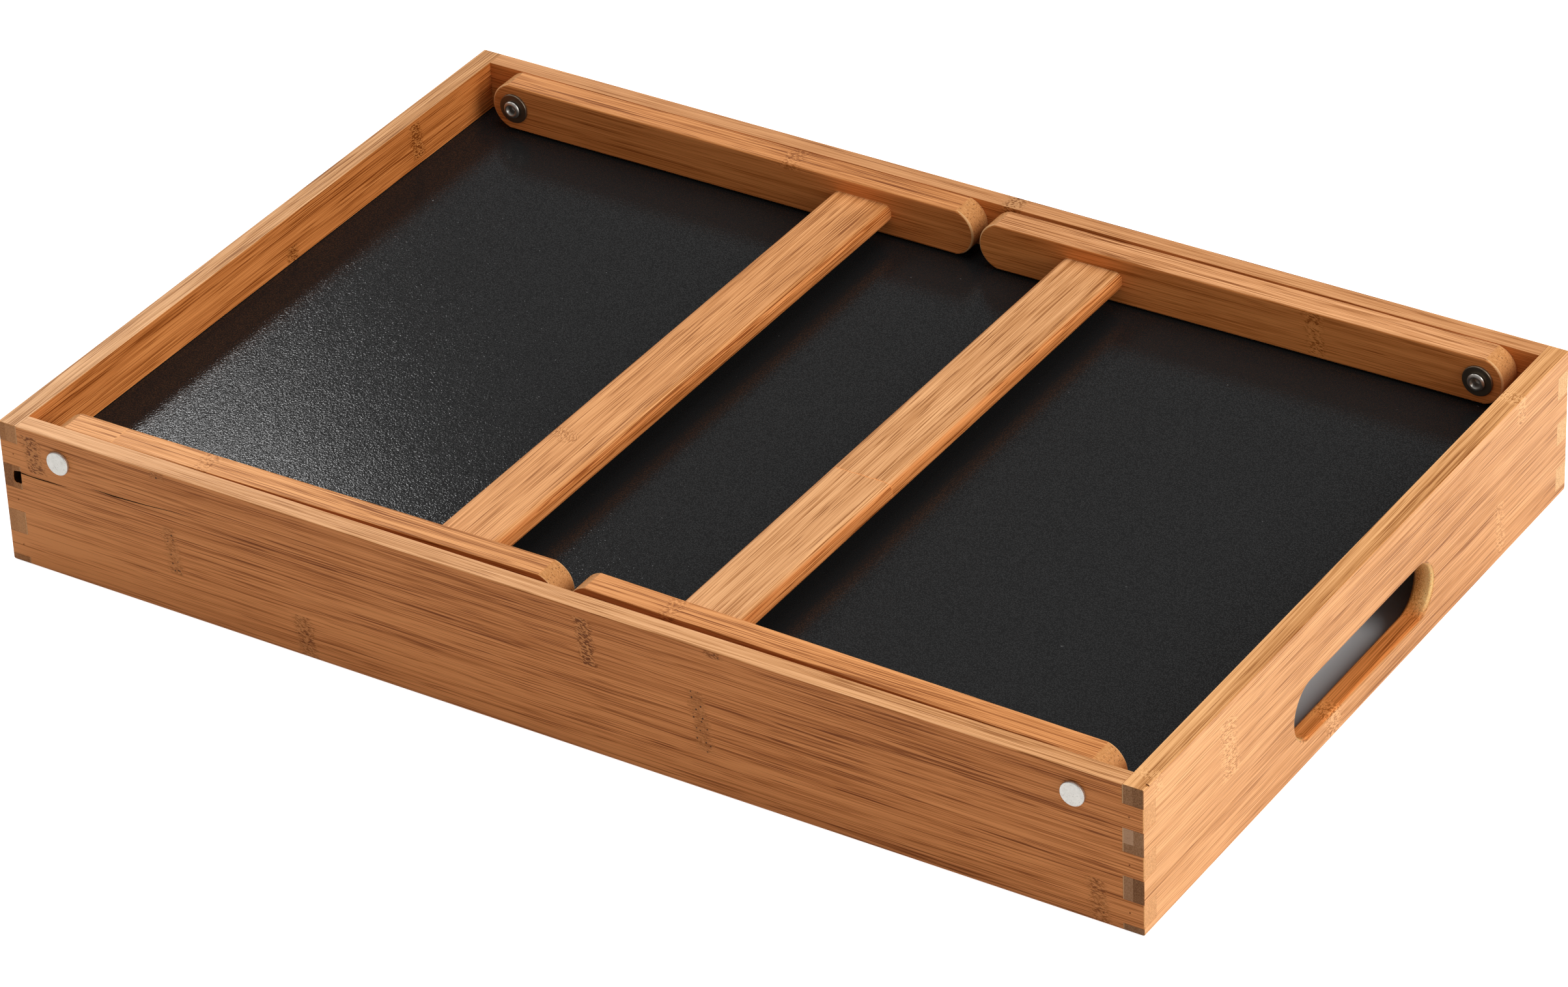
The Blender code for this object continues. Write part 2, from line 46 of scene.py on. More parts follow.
FINGER_EDGES = (0.063, 0.055, 0.0447, 0.0344, 0.0241, 0.0138, 0.0035, 0.0)
GROOVE_REACH = 0.004
PANEL_TOP = 0.0418
PANEL_BOTTOM = 0.0388
PANEL_PLAY = 0.0005
PIVOT_X = 0.222
PIVOT_Z = 0.05265
LEG_WIDTH = 0.0205
LEG_THICKNESS = 0.012
LEG_END_RADIUS = 0.0106
LEG_REACH = 0.220
# Each leg lies against its rail up to a distance from its fold axis and leans away from it past that
LEAN = {(-1, -1): (0.019, 0.0157), (1, -1): (-0.011, 0.0168), (-1, 1): (0, 0), (1, 1): (-0.019, 0.0095)}
SEAT = 0.00004
BAR_WIDTH = 0.027
BAR_THICKNESS = 0.008
BAR_FROM_PIVOT = 0.1685
DOWEL_SPACING = 0.013
DOWEL_HOLE = 0.0028
DOWEL_REACH = 0.0085
SLOT_HALF_LENGTH = 0.05375
SLOT_RADIUS = 0.012
SLOT_Z = 0.0230
GAP = 0.0003

# Rivets and washers; heights are along the rivet
RIVET_RADIUS = 0.0025
RIVET_GAP = 0.00012
HEAD_RADIUS = 0.0050
HEAD_HEIGHT = 0.0010
HEAD_ROUND = 0.00035
HEAD_DIP = 0.00002
FLARE_RADIUS = 0.00375
# How far in from the flare's radius, and how far past its base
FLARE = (
    (0.0002, 0), (0, 0.00025), (0.00005, 0.00055), (0.0003, 0.00085),
    (0.0007, 0.00108), (0.00115, 0.0012), (0.0015, 0.00108), (0.00175, 0.0007),
)
# Radius, and how far back from the flare's base
BORE = ((0.00175, -0.0002), (0.0015, 0.0004), (0.0015, 0.0018), (0, 0.0022))
WASHER_RADIUS = 0.0065
WASHER_THICKNESS = 0.0010
WASHER_ROUND = 0.0004
WASHER_EASE = 0.00015

# Brads, one in every second finger of each long rail
BRAD_FINGERS = (1, 3, 5)
BRAD_X = 0.2442
BRAD_TOP_Y = 0.1642
BRAD_HOLE_Y = 0.1630
BRAD_HOLE_RADIUS = 0.00034
BRAD_PROFILE = (
    (0, -0.00012), (0.0003, -0.00008), (0.00045, 0.0), (0.0005, -0.0001), (0.0005, -0.0148), (0, -0.0162),
)

# Rounding of the edges, and the fine gaps between pieces
OUTER_ROUND = 0.0004
RIM_ROUND = 0.0012
INNER_EDGE_ROUND = 0.0002
PANEL_ROUND = 0.0003
JOINT_GAP = 0.00005
LEG_OUTER_ROUND = 0.0004
LEG_INNER_ROUND = 0.0010
BAR_ROUND = 0.0030
SLOT_ROUND = 0.0016
OVER = 0.001

# Steps and sides of the rounds
OUTER_STEPS = 4
RIM_STEPS = 6
INNER_EDGE_STEPS = 4
PANEL_STEPS = 3
SLOT_EDGE_STEPS = 8
SLOT_END_STEPS = 20
LEG_EDGE_STEPS = 8
LEG_END_STEPS = 32
BAR_STEPS = 9
RIM_OF_HEAD_STEPS = 5
RIVET_SIDES = 64
RIVET_HOLE_SIDES = 40
DOWEL_HOLE_SIDES = 24
BRAD_HOLE_SIDES = 14
BRAD_SIDES = 12

# Angles in degrees past which an edge stays crisp
CRISP = 35
CRISP_LEG = 13

TOUCH = 1e-6
LONG_EDGE = 0.1


# Mesh building

def box(bm, low, high):
    spans = list(zip(low, high))
    corners = [bm.verts.new((x, y, z)) for x in spans[0] for y in spans[1] for z in spans[2]]
    for face in ((0, 1, 3, 2), (4, 6, 7, 5), (0, 4, 5, 1), (2, 3, 7, 6), (0, 2, 6, 4), (1, 5, 7, 3)):
        bm.faces.new([corners[index] for index in face])


def arc(x, z, radius, start, end, steps):
    angles = [start + (end - start) * step / steps for step in range(steps + 1)]
    return [(x + radius * math.cos(angle), z + radius * math.sin(angle)) for angle in angles]


def prism(bm, outline, near, far):
    """An outline in the XZ plane drawn out along Y; near and far are a Y, or give one for each X."""
    ends = []
    for edge in (near, far):
        ends.append([bm.verts.new((x, edge(x) if callable(edge) else edge, z)) for x, z in outline])
    bm.faces.new(ends[0])
    bm.faces.new(ends[1])
    for index in range(len(outline)):
        after = (index + 1) % len(outline)
        bm.faces.new((ends[0][index], ends[0][after], ends[1][after], ends[1][index]))


def stack(bm, rings):
    """Close a run of rings of as many points each into one body."""
    bm.faces.new(rings[0])
    bm.faces.new(rings[-1])
    for ring, following in zip(rings, rings[1:]):
        for index in range(len(ring)):
            after = (index + 1) % len(ring)
            bm.faces.new((ring[index], ring[after], following[after], following[index]))


def rod(bm, x, z, radius, y_start, y_end, sides):
    prism(bm, arc(x, z, radius, 0, 2 * math.pi, sides)[:-1], y_start, y_end)


def add_object(name, bm):
    bmesh.ops.recalc_face_normals(bm, faces=bm.faces)
    mesh = bpy.data.meshes.new(name)
    bm.to_mesh(mesh)
    bm.free()
    item = bpy.data.objects.new(name, mesh)
    bpy.context.scene.collection.objects.link(item)
    return item


def modifier(item, kind, **settings):
    made = item.modifiers.new(kind.lower(), kind)
    for key, value in settings.items():
        setattr(made, key, value)
    return made


def bake(item):
    """Apply an object's modifiers to its mesh."""
    bpy.context.view_layer.update()
    made = bpy.data.meshes.new_from_object(item.evaluated_get(bpy.context.evaluated_depsgraph_get()))
    item.modifiers.clear()
    item.data = made
    return item


def cut(item, *cutters):
    for cutter, operation in cutters:
        modifier(item, "BOOLEAN", object=cutter, operation=operation, solver="EXACT")
    return bake(item)


def quarter_round(radius, steps):
    """A quarter round in steps: how far it is drawn in, and how deep it lies, from the face to the side."""
    turns = [math.pi / 2 * step / steps for step in range(steps + 1)]
    return [(radius * (1 - math.sin(turn)), radius * (1 - math.cos(turn))) for turn in turns]


def rounded_rim(radius, height, size):
    """Profile points of a disc's rounded rim, from its flat top down to its side."""
    turns = [math.pi / 2 * step / RIM_OF_HEAD_STEPS for step in range(RIM_OF_HEAD_STEPS + 1)]
    return [(radius - size + size * math.sin(turn), height - size + size * math.cos(turn)) for turn in turns]


def finish_shape(item, crisp=CRISP):
    """Smooth shading on rounds and true flats elsewhere."""
    item.data.shade_smooth()
    item.data.set_sharp_from_angle(angle=math.radians(crisp))
    modifier(item, "WEIGHTED_NORMAL", keep_sharp=True, weight=60)
    return item


def turned(name, profile, sides, place, outward):
    """A closed profile of (radius, height) turned about Y; outward is the way that height grows."""
    bm = bmesh.new()
    rings = []
    for radius, height in profile:
        count = 1 if radius == 0 else sides
        turn = [2 * math.pi * step / sides for step in range(count)]
        rings.append([bm.verts.new((radius * math.cos(a), outward * height, radius * math.sin(a))) for a in turn])
    pairs = list(zip(rings, rings[1:]))
    if profile[0][0] > 0:
        pairs.append((rings[-1], rings[0]))
    for lower, upper in pairs:
        for step in range(sides):
            after = (step + 1) % sides
            corners = [lower[step % len(lower)], lower[after % len(lower)]]
            corners += [upper[after % len(upper)], upper[step % len(upper)]]
            bm.faces.new(list(dict.fromkeys(corners)))
    bmesh.ops.translate(bm, verts=bm.verts, vec=place)
    return finish_shape(add_object(name, bm))


# Materials

class Net:
    """A Principled material and short ways to add nodes to it."""

    def __init__(self, name):
        self.material = bpy.data.materials.new(name)
        self.material.use_nodes = True
        self.tree = self.material.node_tree
        self.shader = self.tree.nodes["Principled BSDF"]

    def feed(self, socket, value):
        if isinstance(value, bpy.types.NodeSocket):
            self.tree.links.new(value, socket)
        elif value is not None:
            socket.default_value = value

    def node(self, kind, *inputs, **settings):
        made = self.tree.nodes.new("ShaderNode" + kind)
        for key, value in settings.items():
            setattr(made, key, value)
        for socket, value in zip(made.inputs, inputs):
            self.feed(socket, value)
        return made

    def math(self, operation, *inputs):
        return self.node("Math", *inputs, operation=operation).outputs[0]

    def total(self, *values):
        result = values[0]
        for value in values[1:]:
            result = self.math("ADD", result, value)
        return result

    def product(self, *values):
        result = values[0]
        for value in values[1:]:
            result = self.math("MULTIPLY", result, value)
        return result

    def about_half(self, value, amount):
        """How far a value lies from a half, times an amount."""
        return self.product(self.math("SUBTRACT", value, 0.5), amount)

    def size(self, value):
        """A value without its sign."""
        return self.math("ABSOLUTE", value)

    def between(self, value, low, high):
        """1 where a value lies from low to high, and 0 elsewhere."""
        return self.product(self.math("GREATER_THAN", value, low), self.math("LESS_THAN", value, high))

    def ramp(self, value, low, high, start=0.0, end=1.0):
        """A smooth step from start to end as value goes from low to high."""
        made = self.node("MapRange", value, low, high, start, end, interpolation_type="SMOOTHSTEP")
        return made.outputs[0]

    def noise(self, vector, detail=2.0, roughness=0.5, scale=1.0):
        made = self.node("TexNoise", vector, None, scale, detail, roughness)
        return made.outputs[0]

    def cells(self, vector, scale=1.0):
        """Distance from the middle of the nearest cell, and that cell's random colour."""
        made = self.node("TexVoronoi", vector, feature="F1")
        made.inputs["Scale"].default_value = scale
        return made.outputs["Distance"], made.outputs["Color"]

    def blend(self, factor, first, second, mode="MIX"):
        made = self.tree.nodes.new("ShaderNodeMix")
        made.data_type = "RGBA"
        made.blend_type = mode
        for index, value in ((0, factor), (6, first), (7, second)):
            if isinstance(value, tuple):
                value = (*value, 1.0)
            self.feed(made.inputs[index], value)
        return made.outputs[2]

    def vector(self, *parts):
        return self.node("CombineXYZ", *parts).outputs[0]

    def colours(self, value, stops):
        made = self.node("ValToRGB", value)
        ramp = made.color_ramp
        while len(ramp.elements) < len(stops):
            ramp.elements.new(0.5)
        for element, (position, colour) in zip(ramp.elements, stops):
            element.position = position
            element.color = (*colour, 1.0)
        return made.outputs[0]

    def bump(self, height, distance, strength):
        made = self.tree.nodes.new("ShaderNodeBump")
        made.inputs["Strength"].default_value = strength
        made.inputs["Distance"].default_value = distance
        self.feed(made.inputs["Height"], height)
        self.feed(self.shader.inputs["Normal"], made.outputs[0])

    def set(self, **values):
        """Set the shader's inputs, whose names are written with underscores."""
        for key, value in values.items():
            self.feed(self.shader.inputs[key.replace("_", " ")], value)


# How far the darkest, darker, lighter and lightest streaks of a bamboo lie from its middle colour
STREAK_TONES = (
    (0.16, (0.4, 0.27, 0.14)), (0.4, (0.84, 0.78, 0.68)), (0.6, (1.13, 1.18, 1.28)), (0.84, (1.4, 1.6, 1.9)),
)
PALEST = 0.95

# Middle colours of each bamboo piece: on its wide faces, on its narrow edges, and on its cut ends. These copies
# also paint shade and light: faces and cut ends in shade (the front, the inner faces of the back rail and legs, the
# end rails' front ends) get deeper, more saturated colours, and surfaces lit from above and the right get paler
# ones.
BAMBOO = {
    "front_rail": ((0.54, 0.184, 0.05), (0.665, 0.322, 0.131), (0.64, 0.31, 0.118)),
    "back_rail": ((0.56, 0.18, 0.04), (0.53, 0.228, 0.082), (0.72, 0.4, 0.17)),
    "left_rail": ((0.6, 0.27, 0.1), (0.62, 0.305, 0.122), (0.43, 0.18, 0.062)),
    "right_rail": ((0.61, 0.28, 0.103), (0.63, 0.295, 0.105), (0.33, 0.165, 0.08)),
    "leg_front_left": ((0.6, 0.2, 0.05), (0.63, 0.255, 0.078), (0.56, 0.25, 0.085)),
    "leg_front_right": ((0.6, 0.2, 0.05), (0.6, 0.23, 0.068), (0.56, 0.25, 0.085)),
    "leg_back_left": ((0.6, 0.2, 0.05), (0.56, 0.215, 0.064), (0.56, 0.25, 0.085)),
    "leg_back_right": ((0.6, 0.2, 0.048), (0.62, 0.275, 0.105), (0.56, 0.25, 0.085)),
    "crossbar_left": ((0.62, 0.265, 0.09), (0.56, 0.19, 0.05), (0.5, 0.23, 0.08)),
    "crossbar_right": ((0.61, 0.28, 0.105), (0.56, 0.19, 0.05), (0.5, 0.23, 0.08)),
    "dowel": ((0.62, 0.33, 0.15), (0.62, 0.33, 0.15), (0.5, 0.26, 0.11)),
}
# Painted shade: deeper, more saturated copies of the bamboo for an end rail's inner wall and for its slot's walls
INNER_WALL_SHADE = (0.62, 0.203, 0.048)
SLOT_WALL_SHADE = (0.735, 0.243, 0.059)
# Painted light: a pale copy of the bamboo for the slot's end walls
SLOT_END_LIGHT = (0.95, 0.49, 0.18)
KNUCKLE_TINT = (0.58, 0.62, 0.58)
KNUCKLE_DOT = (0.06, 0.02, 0.008)
END_PORE = (0.13, 0.042, 0.014)
GLUE_LINE = (0.8, 0.46, 0.22)
RIM_CREAM = (0.74, 0.42, 0.19)
# Painted shade, nearly black, deep inside the cracks and broken places
HOLLOW_SHADE = (0.01, 0.004, 0.002)
BAMBOO_TINT = (1.0, 0.72, 0.48, 1.0)
BAMBOO_GLOSS = 0.22
BAMBOO_ROUGHNESS = (0.33, 0.47)
BAMBOO_RELIEF = 0.00006

# Each kind of streak: its length along the grain and its width in mm, then the detail and roughness of its noise
FINE = (48, 0.34, 2, 0.6)
MIDDLE = (120, 1.3, 1, 0.5)
BROAD = (200, 6.5, 1, 0.5)
CROWD = (80, 3.2, 1, 0.5)
THREADS = (36, 0.46, 1, 0.5)
DASH_LENGTH, DASH_WIDTH = 26, 0.75
# The size in mm of a crease in a knuckle: along the grain, across it and through it
CREASE = (1.5, 0.62, 0.8)

# Scales to the mm: ragged borders, knuckles' spots, and the cut ends' speckle, pores and their crowding
RAGGED_SCALE = 0.30
SPOT_SCALE = 0.46
SPECKLE_SCALE = 1.9
HOLE_SCALE = 1.15
SPREAD_SCALE = 0.20

# How far the grain shifts from one strip to the next: across the width, through the thickness, past a butt joint
WIDE_SHIFT, THICK_SHIFT, JOINT_SHIFT = 7.3, 13.7, 5.9

# In mm: nearer to the middle than this a rail's ends are those of its slot, and lower than this its edges are
SLOT_WITHIN = 100.0
SLOT_BELOW = 50.0
# Across a slot's wall: a place inside and one at its mouth, in mm from the tray's middle, and the tone at each;
# these paint shade inside the slot and light at its mouth
SLOT_SHADE_AND_LIGHT = (242.5, 249.8, -0.30, 0.12)


def shades(middle):
    """Colour stops for the streaks of a bamboo, from its middle colour."""
    return [(place, [min(a * b, PALEST) for a, b in zip(middle, tone)]) for place, tone in STREAK_TONES]


class Bamboo(Net):
    """Glued bamboo strips, for a piece named in BAMBOO. axes are the indices of the directions along the grain,
    across the width and through the thickness. Places in it are in mm."""

    def __init__(self, piece, axes):
        super().__init__("bamboo_" + piece)
        self.face, self.edge, self.cut_end = BAMBOO[piece]
        source = self.node("TexCoord")
        split = self.node("SeparateXYZ", source.outputs["Object"])
        normal = self.node("SeparateXYZ", source.outputs["Normal"])
        self.along, self.wide, self.thick = [self.product(split.outputs[axis], 1000.0) for axis in axes]
        self.facing_along, self.facing_wide, self.facing_thick = [normal.outputs[axis] for axis in axes]
        self.on_end = self.ramp(self.size(self.facing_along), 0.22, 0.36)
        self.on_edge = self.ramp(self.size(self.facing_wide), 0.4, 0.8)
        ragged = self.noise(self.vector(self.along, self.wide, self.thick), 3.0, 0.6, RAGGED_SCALE)
        self.ragged = self.math("SUBTRACT", ragged, 0.5)

    def squeezed(self, amount):
        """The place, with the grain's direction drawn out so that marks run along it."""
        return self.vector(self.product(self.along, amount), self.wide, self.thick)

    def lay_strips(self, seed, wide_strips, thick_strips, joints, fades):
        """Tell the strips apart by the shift of their grain and by their tone, and find where they butt."""
        self.shift, self.tone, self.seam = float(seed), 0.0, 0.0
        for value, strips, step in ((self.wide, wide_strips, WIDE_SHIFT), (self.thick, thick_strips, THICK_SHIFT)):
            before = 0.0
            for border, after in strips:
                past = self.math("GREATER_THAN", value, border)
                self.shift = self.math("MULTIPLY_ADD", past, step, self.shift)
                self.tone = self.math("MULTIPLY_ADD", past, after - before, self.tone)
                before = after
        for index, place in enumerate(joints):
            near = self.total(self.along, -place, self.product(self.ragged, 2.0))
            past = self.math("GREATER_THAN", near, 0.0)
            self.shift = self.math("MULTIPLY_ADD", past, JOINT_SHIFT, self.shift)
            self.tone = self.math("MULTIPLY_ADD", past, 0.05 if index % 2 else -0.05, self.tone)
            self.seam = self.math("MAXIMUM", self.seam, self.ramp(self.size(near), 0.12, 0.35, 1.0, 0.0))
        # Fades: broad gradients of tone, which also paint light falling unevenly along the piece
        for start, end, change in fades:
            self.tone = self.total(self.tone, self.ramp(self.along, start, end, 0.0, change))

    def mark_knuckles(self, knuckles):
        """Find where the knuckles are, and how much each is creased and how much dotted."""
        self.knot = self.creased = self.dotted = 0.0
        for place, half, low, high, share, strength in knuckles:
            lean = self.product(self.math("SUBTRACT", self.wide, (low + high) / 2), 0.13)
            near = self.size(self.total(self.along, -place, lean, self.product(self.ragged, 5.0)))
            reach = self.ramp(near, half * 0.25, half * 1.1, strength, 0.0)
            here = self.product(reach, self.between(self.wide, low, high))
            self.knot = self.math("MAXIMUM", self.knot, here)
            self.creased = self.math("MAXIMUM", self.creased, self.product(here, 1.0 - 0.75 * share))
            if share:
                self.dotted = self.math("MAXIMUM", self.dotted, self.product(here, share))

    def draw_grain(self, lift, dashes, streaks, edge_streaks, pale_knuckles):
        """Work out the light and dark of the streaks, threads, pores and creases."""
        bend = self.product(self.knot, self.product(self.ragged, 2.5))
        across = self.total(self.wide, bend, self.product(self.shift, 3.1))
        through = self.total(self.thick, bend, self.product(self.shift, 1.7))

        def drawn_out(length, width):
            lengths = (self.along, length), (across, width), (through, width)
            return self.vector(*[self.math("DIVIDE", value, unit) for value, unit in lengths])

        def grain(length, width, detail, rough):
            return self.noise(drawn_out(length, width), detail, rough)

        self.fine = grain(*FINE)
        middle, broad, crowd, threads = [grain(*kind) for kind in (MIDDLE, BROAD, CROWD, THREADS)]
        self.lines = self.product(self.ramp(threads, 0.50, 0.59), self.ramp(crowd, 0.36, 0.60, 0.35, 1.0))
        distance, shade = self.cells(drawn_out(DASH_LENGTH, DASH_WIDTH))
        weight = self.node("SeparateColor", shade).outputs[0]
        self.pore = self.product(self.ramp(distance, 0.10, 0.30, 1.0, 0.0), self.ramp(weight, 0.30, 0.9))

        slant = self.math("MULTIPLY_ADD", self.along, 0.22, self.wide)
        lengths = zip((self.along, slant, self.thick), CREASE)
        wrinkle = self.noise(self.vector(*[self.math("DIVIDE", value, unit) for value, unit in lengths]), 2.0, 0.55)
        wrinkle = self.math("SUBTRACT", self.ramp(wrinkle, 0.40, 0.58), 0.62 - pale_knuckles)
        self.crease = self.product(wrinkle, self.creased)

        streak = self.total(
            self.product(self.math("SUBTRACT", 0.3, self.lines), 0.25),
            self.about_half(self.fine, -0.90),
            self.about_half(middle, 0.34),
            self.product(self.pore, -0.7 * dashes),
        )
        calm = self.math("SUBTRACT", 1.0, self.product(self.knot, 0.5))
        strength = self.ramp(self.on_edge, 0.0, 1.0, streaks, edge_streaks)
        self.level = self.total(
            0.53 + lift,
            self.tone,
            self.product(streak, calm, strength),
            self.about_half(broad, 0.34),
            self.product(self.crease, 0.85),
        )

    def colour_faces(self, smudge, looks_in):
        """Colour of the wide faces and the narrow edges, whose own colours also paint light and shade, with painted
        shade on an end rail's inner wall and its slot's walls, and the knuckles' tint and dots.
        """
        colour = self.colours(self.level, shades(self.face))
        narrow = self.colours(self.level, shades(self.edge))
        # Painted shade: an end rail's inner wall, and its slot's walls, take deeper and more saturated copies of
        # the bamboo
        if looks_in:
            inside = self.ramp(self.product(self.facing_thick, looks_in), 0.3, 0.8)
            colour = self.blend(inside, colour, self.colours(self.level, shades(INNER_WALL_SHADE)))
            in_slot = self.math("LESS_THAN", self.wide, SLOT_BELOW)
            narrow = self.blend(in_slot, narrow, self.colours(self.level, shades(SLOT_WALL_SHADE)))
        colour = self.blend(self.on_edge, colour, narrow)
        glue = tuple(min(channel * 1.6, 0.9) for channel in self.edge)
        colour = self.blend(self.product(self.seam, 0.5), colour, glue)
        colour = self.blend(self.product(self.knot, smudge), colour, KNUCKLE_TINT, "MULTIPLY")
        spots, _ = self.cells(self.squeezed(1.0), SPOT_SCALE)
        self.spots = self.product(self.ramp(spots, 0.13, 0.24, 1.0, 0.0), self.ramp(self.dotted, 0.25, 0.6))
        return self.blend(self.spots, colour, KNUCKLE_DOT)

    def colour_ends(self, patches, dots, looks_in, pale_seam, pale_rim):
        """Colour of the cut ends, with the strips' own tones, pores and glue lines, and on a slot's end walls a
        pale copy that paints light, with painted shade inside and painted light toward the mouth.
        """
        tone = 0.5
        for low, high, near, far, patch in patches:
            inside = self.product(
                self.between(self.wide, low, high),
                self.between(self.thick, near, far),
                self.math("GREATER_THAN", self.size(self.along), SLOT_WITHIN),
            )
            tone = self.math("MULTIPLY_ADD", inside, patch, tone)
        speckle = self.noise(self.squeezed(0.1), 3.0, 0.7, SPECKLE_SCALE)
        tone = self.math("MULTIPLY_ADD", self.math("SUBTRACT", speckle, 0.5), 0.8, tone)
        ends = self.colours(tone, shades(self.cut_end))
        # Painted light and shade on the slot's end walls: a pale copy of the bamboo, darker inside and lighter
        # toward the mouth
        if looks_in:
            in_slot = self.math("LESS_THAN", self.size(self.along), SLOT_WITHIN)
            mouth = self.ramp(self.size(self.thick), *SLOT_SHADE_AND_LIGHT)
            ends = self.blend(in_slot, ends, self.colours(self.total(tone, mouth), shades(SLOT_END_LIGHT)))
            soft = self.ramp(self.size(self.facing_along), 0.15, 0.85)
            self.on_end = self.node("MapRange", in_slot, 0.0, 1.0, self.on_end, soft).outputs[0]
        holes, _ = self.cells(self.squeezed(0.05), HOLE_SCALE)
        spread = self.noise(self.squeezed(0.1), 1.0, 0.5, SPREAD_SCALE)
        self.holes = self.product(self.ramp(holes, 0.14, 0.30, dots, 0.0), self.ramp(spread, 0.32, 0.50, 0.30, 1.0))
        ends = self.blend(self.holes, ends, END_PORE)
        if pale_seam:
            near = self.size(self.math("SUBTRACT", self.thick, pale_seam))
            ends = self.blend(self.ramp(near, 0.10, 0.28, 0.5, 0.0), ends, GLUE_LINE)
        if pale_rim:
            rim = self.ramp(self.size(self.facing_thick), 0.10, 0.35, 0.0, pale_rim)
            ends = self.blend(rim, ends, RIM_CREAM)
        return ends

    def paint_hollow_shade(self, colour, shaded_hollows):
        """Paint shade on the walls inside the given boxes, nearly black, as deep in the cracks and broken places.
        """
        for low_along, high_along, low_wide, high_wide, low_thick, high_thick in shaded_hollows:
            inside = self.product(
                self.between(self.along, low_along, high_along),
                self.between(self.wide, low_wide, high_wide),
                self.between(self.thick, low_thick, high_thick),
            )
            colour = self.blend(self.product(inside, 0.97), colour, HOLLOW_SHADE)
        return colour


def bamboo(piece, axes, seed, wide_strips=(), thick_strips=(), joints=(), knuckles=(), patches=(), fades=(),
           shaded_hollows=(), smudge=0.6, dashes=0.35, streaks=1.0, edge_streaks=1.0, dots=0.8, lift=0.0, looks_in=0,
           pale_seam=None, pale_rim=0.0, pale_knuckles=0.0):
    """A bamboo material; every piece has its own seed, so that no two have the same grain.

    Strips are (border, tone past it); joints are where strips butt along the grain. Knuckles are (place along,
    half length, from, to across, share of dots, strength). Patches on the cut ends are (from, to across, from, to
    through, tone). Fades are (from, to along, change of tone), broad gradients that also paint light falling
    unevenly along a piece. Shaded hollows are boxes of painted shade, nearly black, in cracks and broken places
    (from, to along, across and through).

    smudge is how much knuckles darken; dashes, streaks, edge_streaks and dots are the strengths of short pores,
    of streaks on faces and on edges, and of pores on the ends; lift lightens the piece. looks_in is the way an
    end rail's inner wall looks along the thickness, pale_seam where glue shows on its ends, pale_rim how cream a
    round end's far edge is, and pale_knuckles how much creases lighten."""
    net = Bamboo(piece, axes)
    net.lay_strips(seed, wide_strips, thick_strips, joints, fades)
    net.mark_knuckles(knuckles)
    net.draw_grain(lift, dashes, streaks, edge_streaks, pale_knuckles)
    faces = net.colour_faces(smudge, looks_in)
    ends = net.colour_ends(patches, dots, looks_in, pale_seam, pale_rim)
    colour = net.paint_hollow_shade(net.blend(net.on_end, faces, ends), shaded_hollows)
    net.set(Base_Color=colour, Roughness=net.ramp(net.fine, 0.25, 0.75, *BAMBOO_ROUGHNESS))
    net.set(Specular_IOR_Level=BAMBOO_GLOSS, Specular_Tint=BAMBOO_TINT)
    height = net.total(
        net.product(net.lines, -0.5),
        net.product(net.pore, -0.8),
        net.product(net.spots, -1.0),
        net.product(net.crease, 1.2),
        net.product(net.holes, net.on_end, -0.8),
    )
    net.bump(height, BAMBOO_RELIEF, 0.5)
    return net.material


# The panel's skin: scales to the metre, colours of its clouds and dust, and the shader's settings
PANEL_PEBBLES = 1350
PANEL_GRAINS = 2000
PANEL_SPECKS = 420
PANEL_CLOUDS = 9
PANEL_RELIEF = 0.00006
PANEL_BLACK = (0.0015, 0.0015, 0.0016)
PANEL_GREYER = (0.003, 0.003, 0.0032)
PANEL_DUST = (0.75, 0.75, 0.75)
PANEL_SHADER = dict(Roughness=0.95, Specular_IOR_Level=0.21, Coat_Roughness=0.1, Coat_IOR=1.6)


def black_panel():
    """Black leather-grained board: a dull skin with small glossy grains, which sparkle where a lamp is mirrored."""
    net = Net("panel_black_grain")
    place = net.node("TexCoord").outputs["Object"]
    pebble = net.noise(place, 1.0, 0.5, PANEL_PEBBLES)
    distance, shade = net.cells(place, PANEL_GRAINS)
    grains = net.ramp(net.node("SeparateColor", shade).outputs[0], 0.10, 0.32)
    grains = net.product(grains, net.ramp(distance, 0.36, 0.58, 1.0, 0.0))
    grains = net.math("MULTIPLY_ADD", grains, 0.55, 0.16)
    dust = net.ramp(net.noise(place, 2.0, 0.6, PANEL_SPECKS), 0.775, 0.80)
    cloud = net.noise(place, 2.0, 0.5, PANEL_CLOUDS)
    colour = net.blend(cloud, PANEL_BLACK, PANEL_GREYER)
    colour = net.blend(net.product(dust, 0.10), colour, PANEL_DUST)
    net.set(Base_Color=colour, Coat_Weight=grains, **PANEL_SHADER)
    net.bump(pebble, PANEL_RELIEF, 1.0)
    net.feed(net.shader.inputs["Coat Normal"], net.shader.inputs["Normal"].links[0].from_socket)
    return net.material


# Each metal's colour, roughness and amounts of scratches, dirt, relief and painted shade inside the tray; then what
# all share
METALS = {
    "rivet_aluminium_worn": ((0.72, 0.7, 0.655), 0.36, 0.16, 0.28, 0.15, 0.4),
    "washer_dark_steel": ((0.25, 0.202, 0.148), 0.36, 0.15, 0.1, 0.1, 0),
    "brad_dull_steel": ((0.1, 0.08, 0.06), 0.5, 0.1, 0.6, 0.15, 0),
}
METAL_DIRT = (0.18, 0.15, 0.13)
METAL_INNER_SHADE = (0.2, 0.165, 0.13)
METAL_RELIEF = 0.00003
METAL_HAZE = 900
METAL_SPECKS = 1300
SCRATCH_TURN = (0.4, 0.2, 0.7)
SCRATCH_SCALE = (3500, 3500, 260)


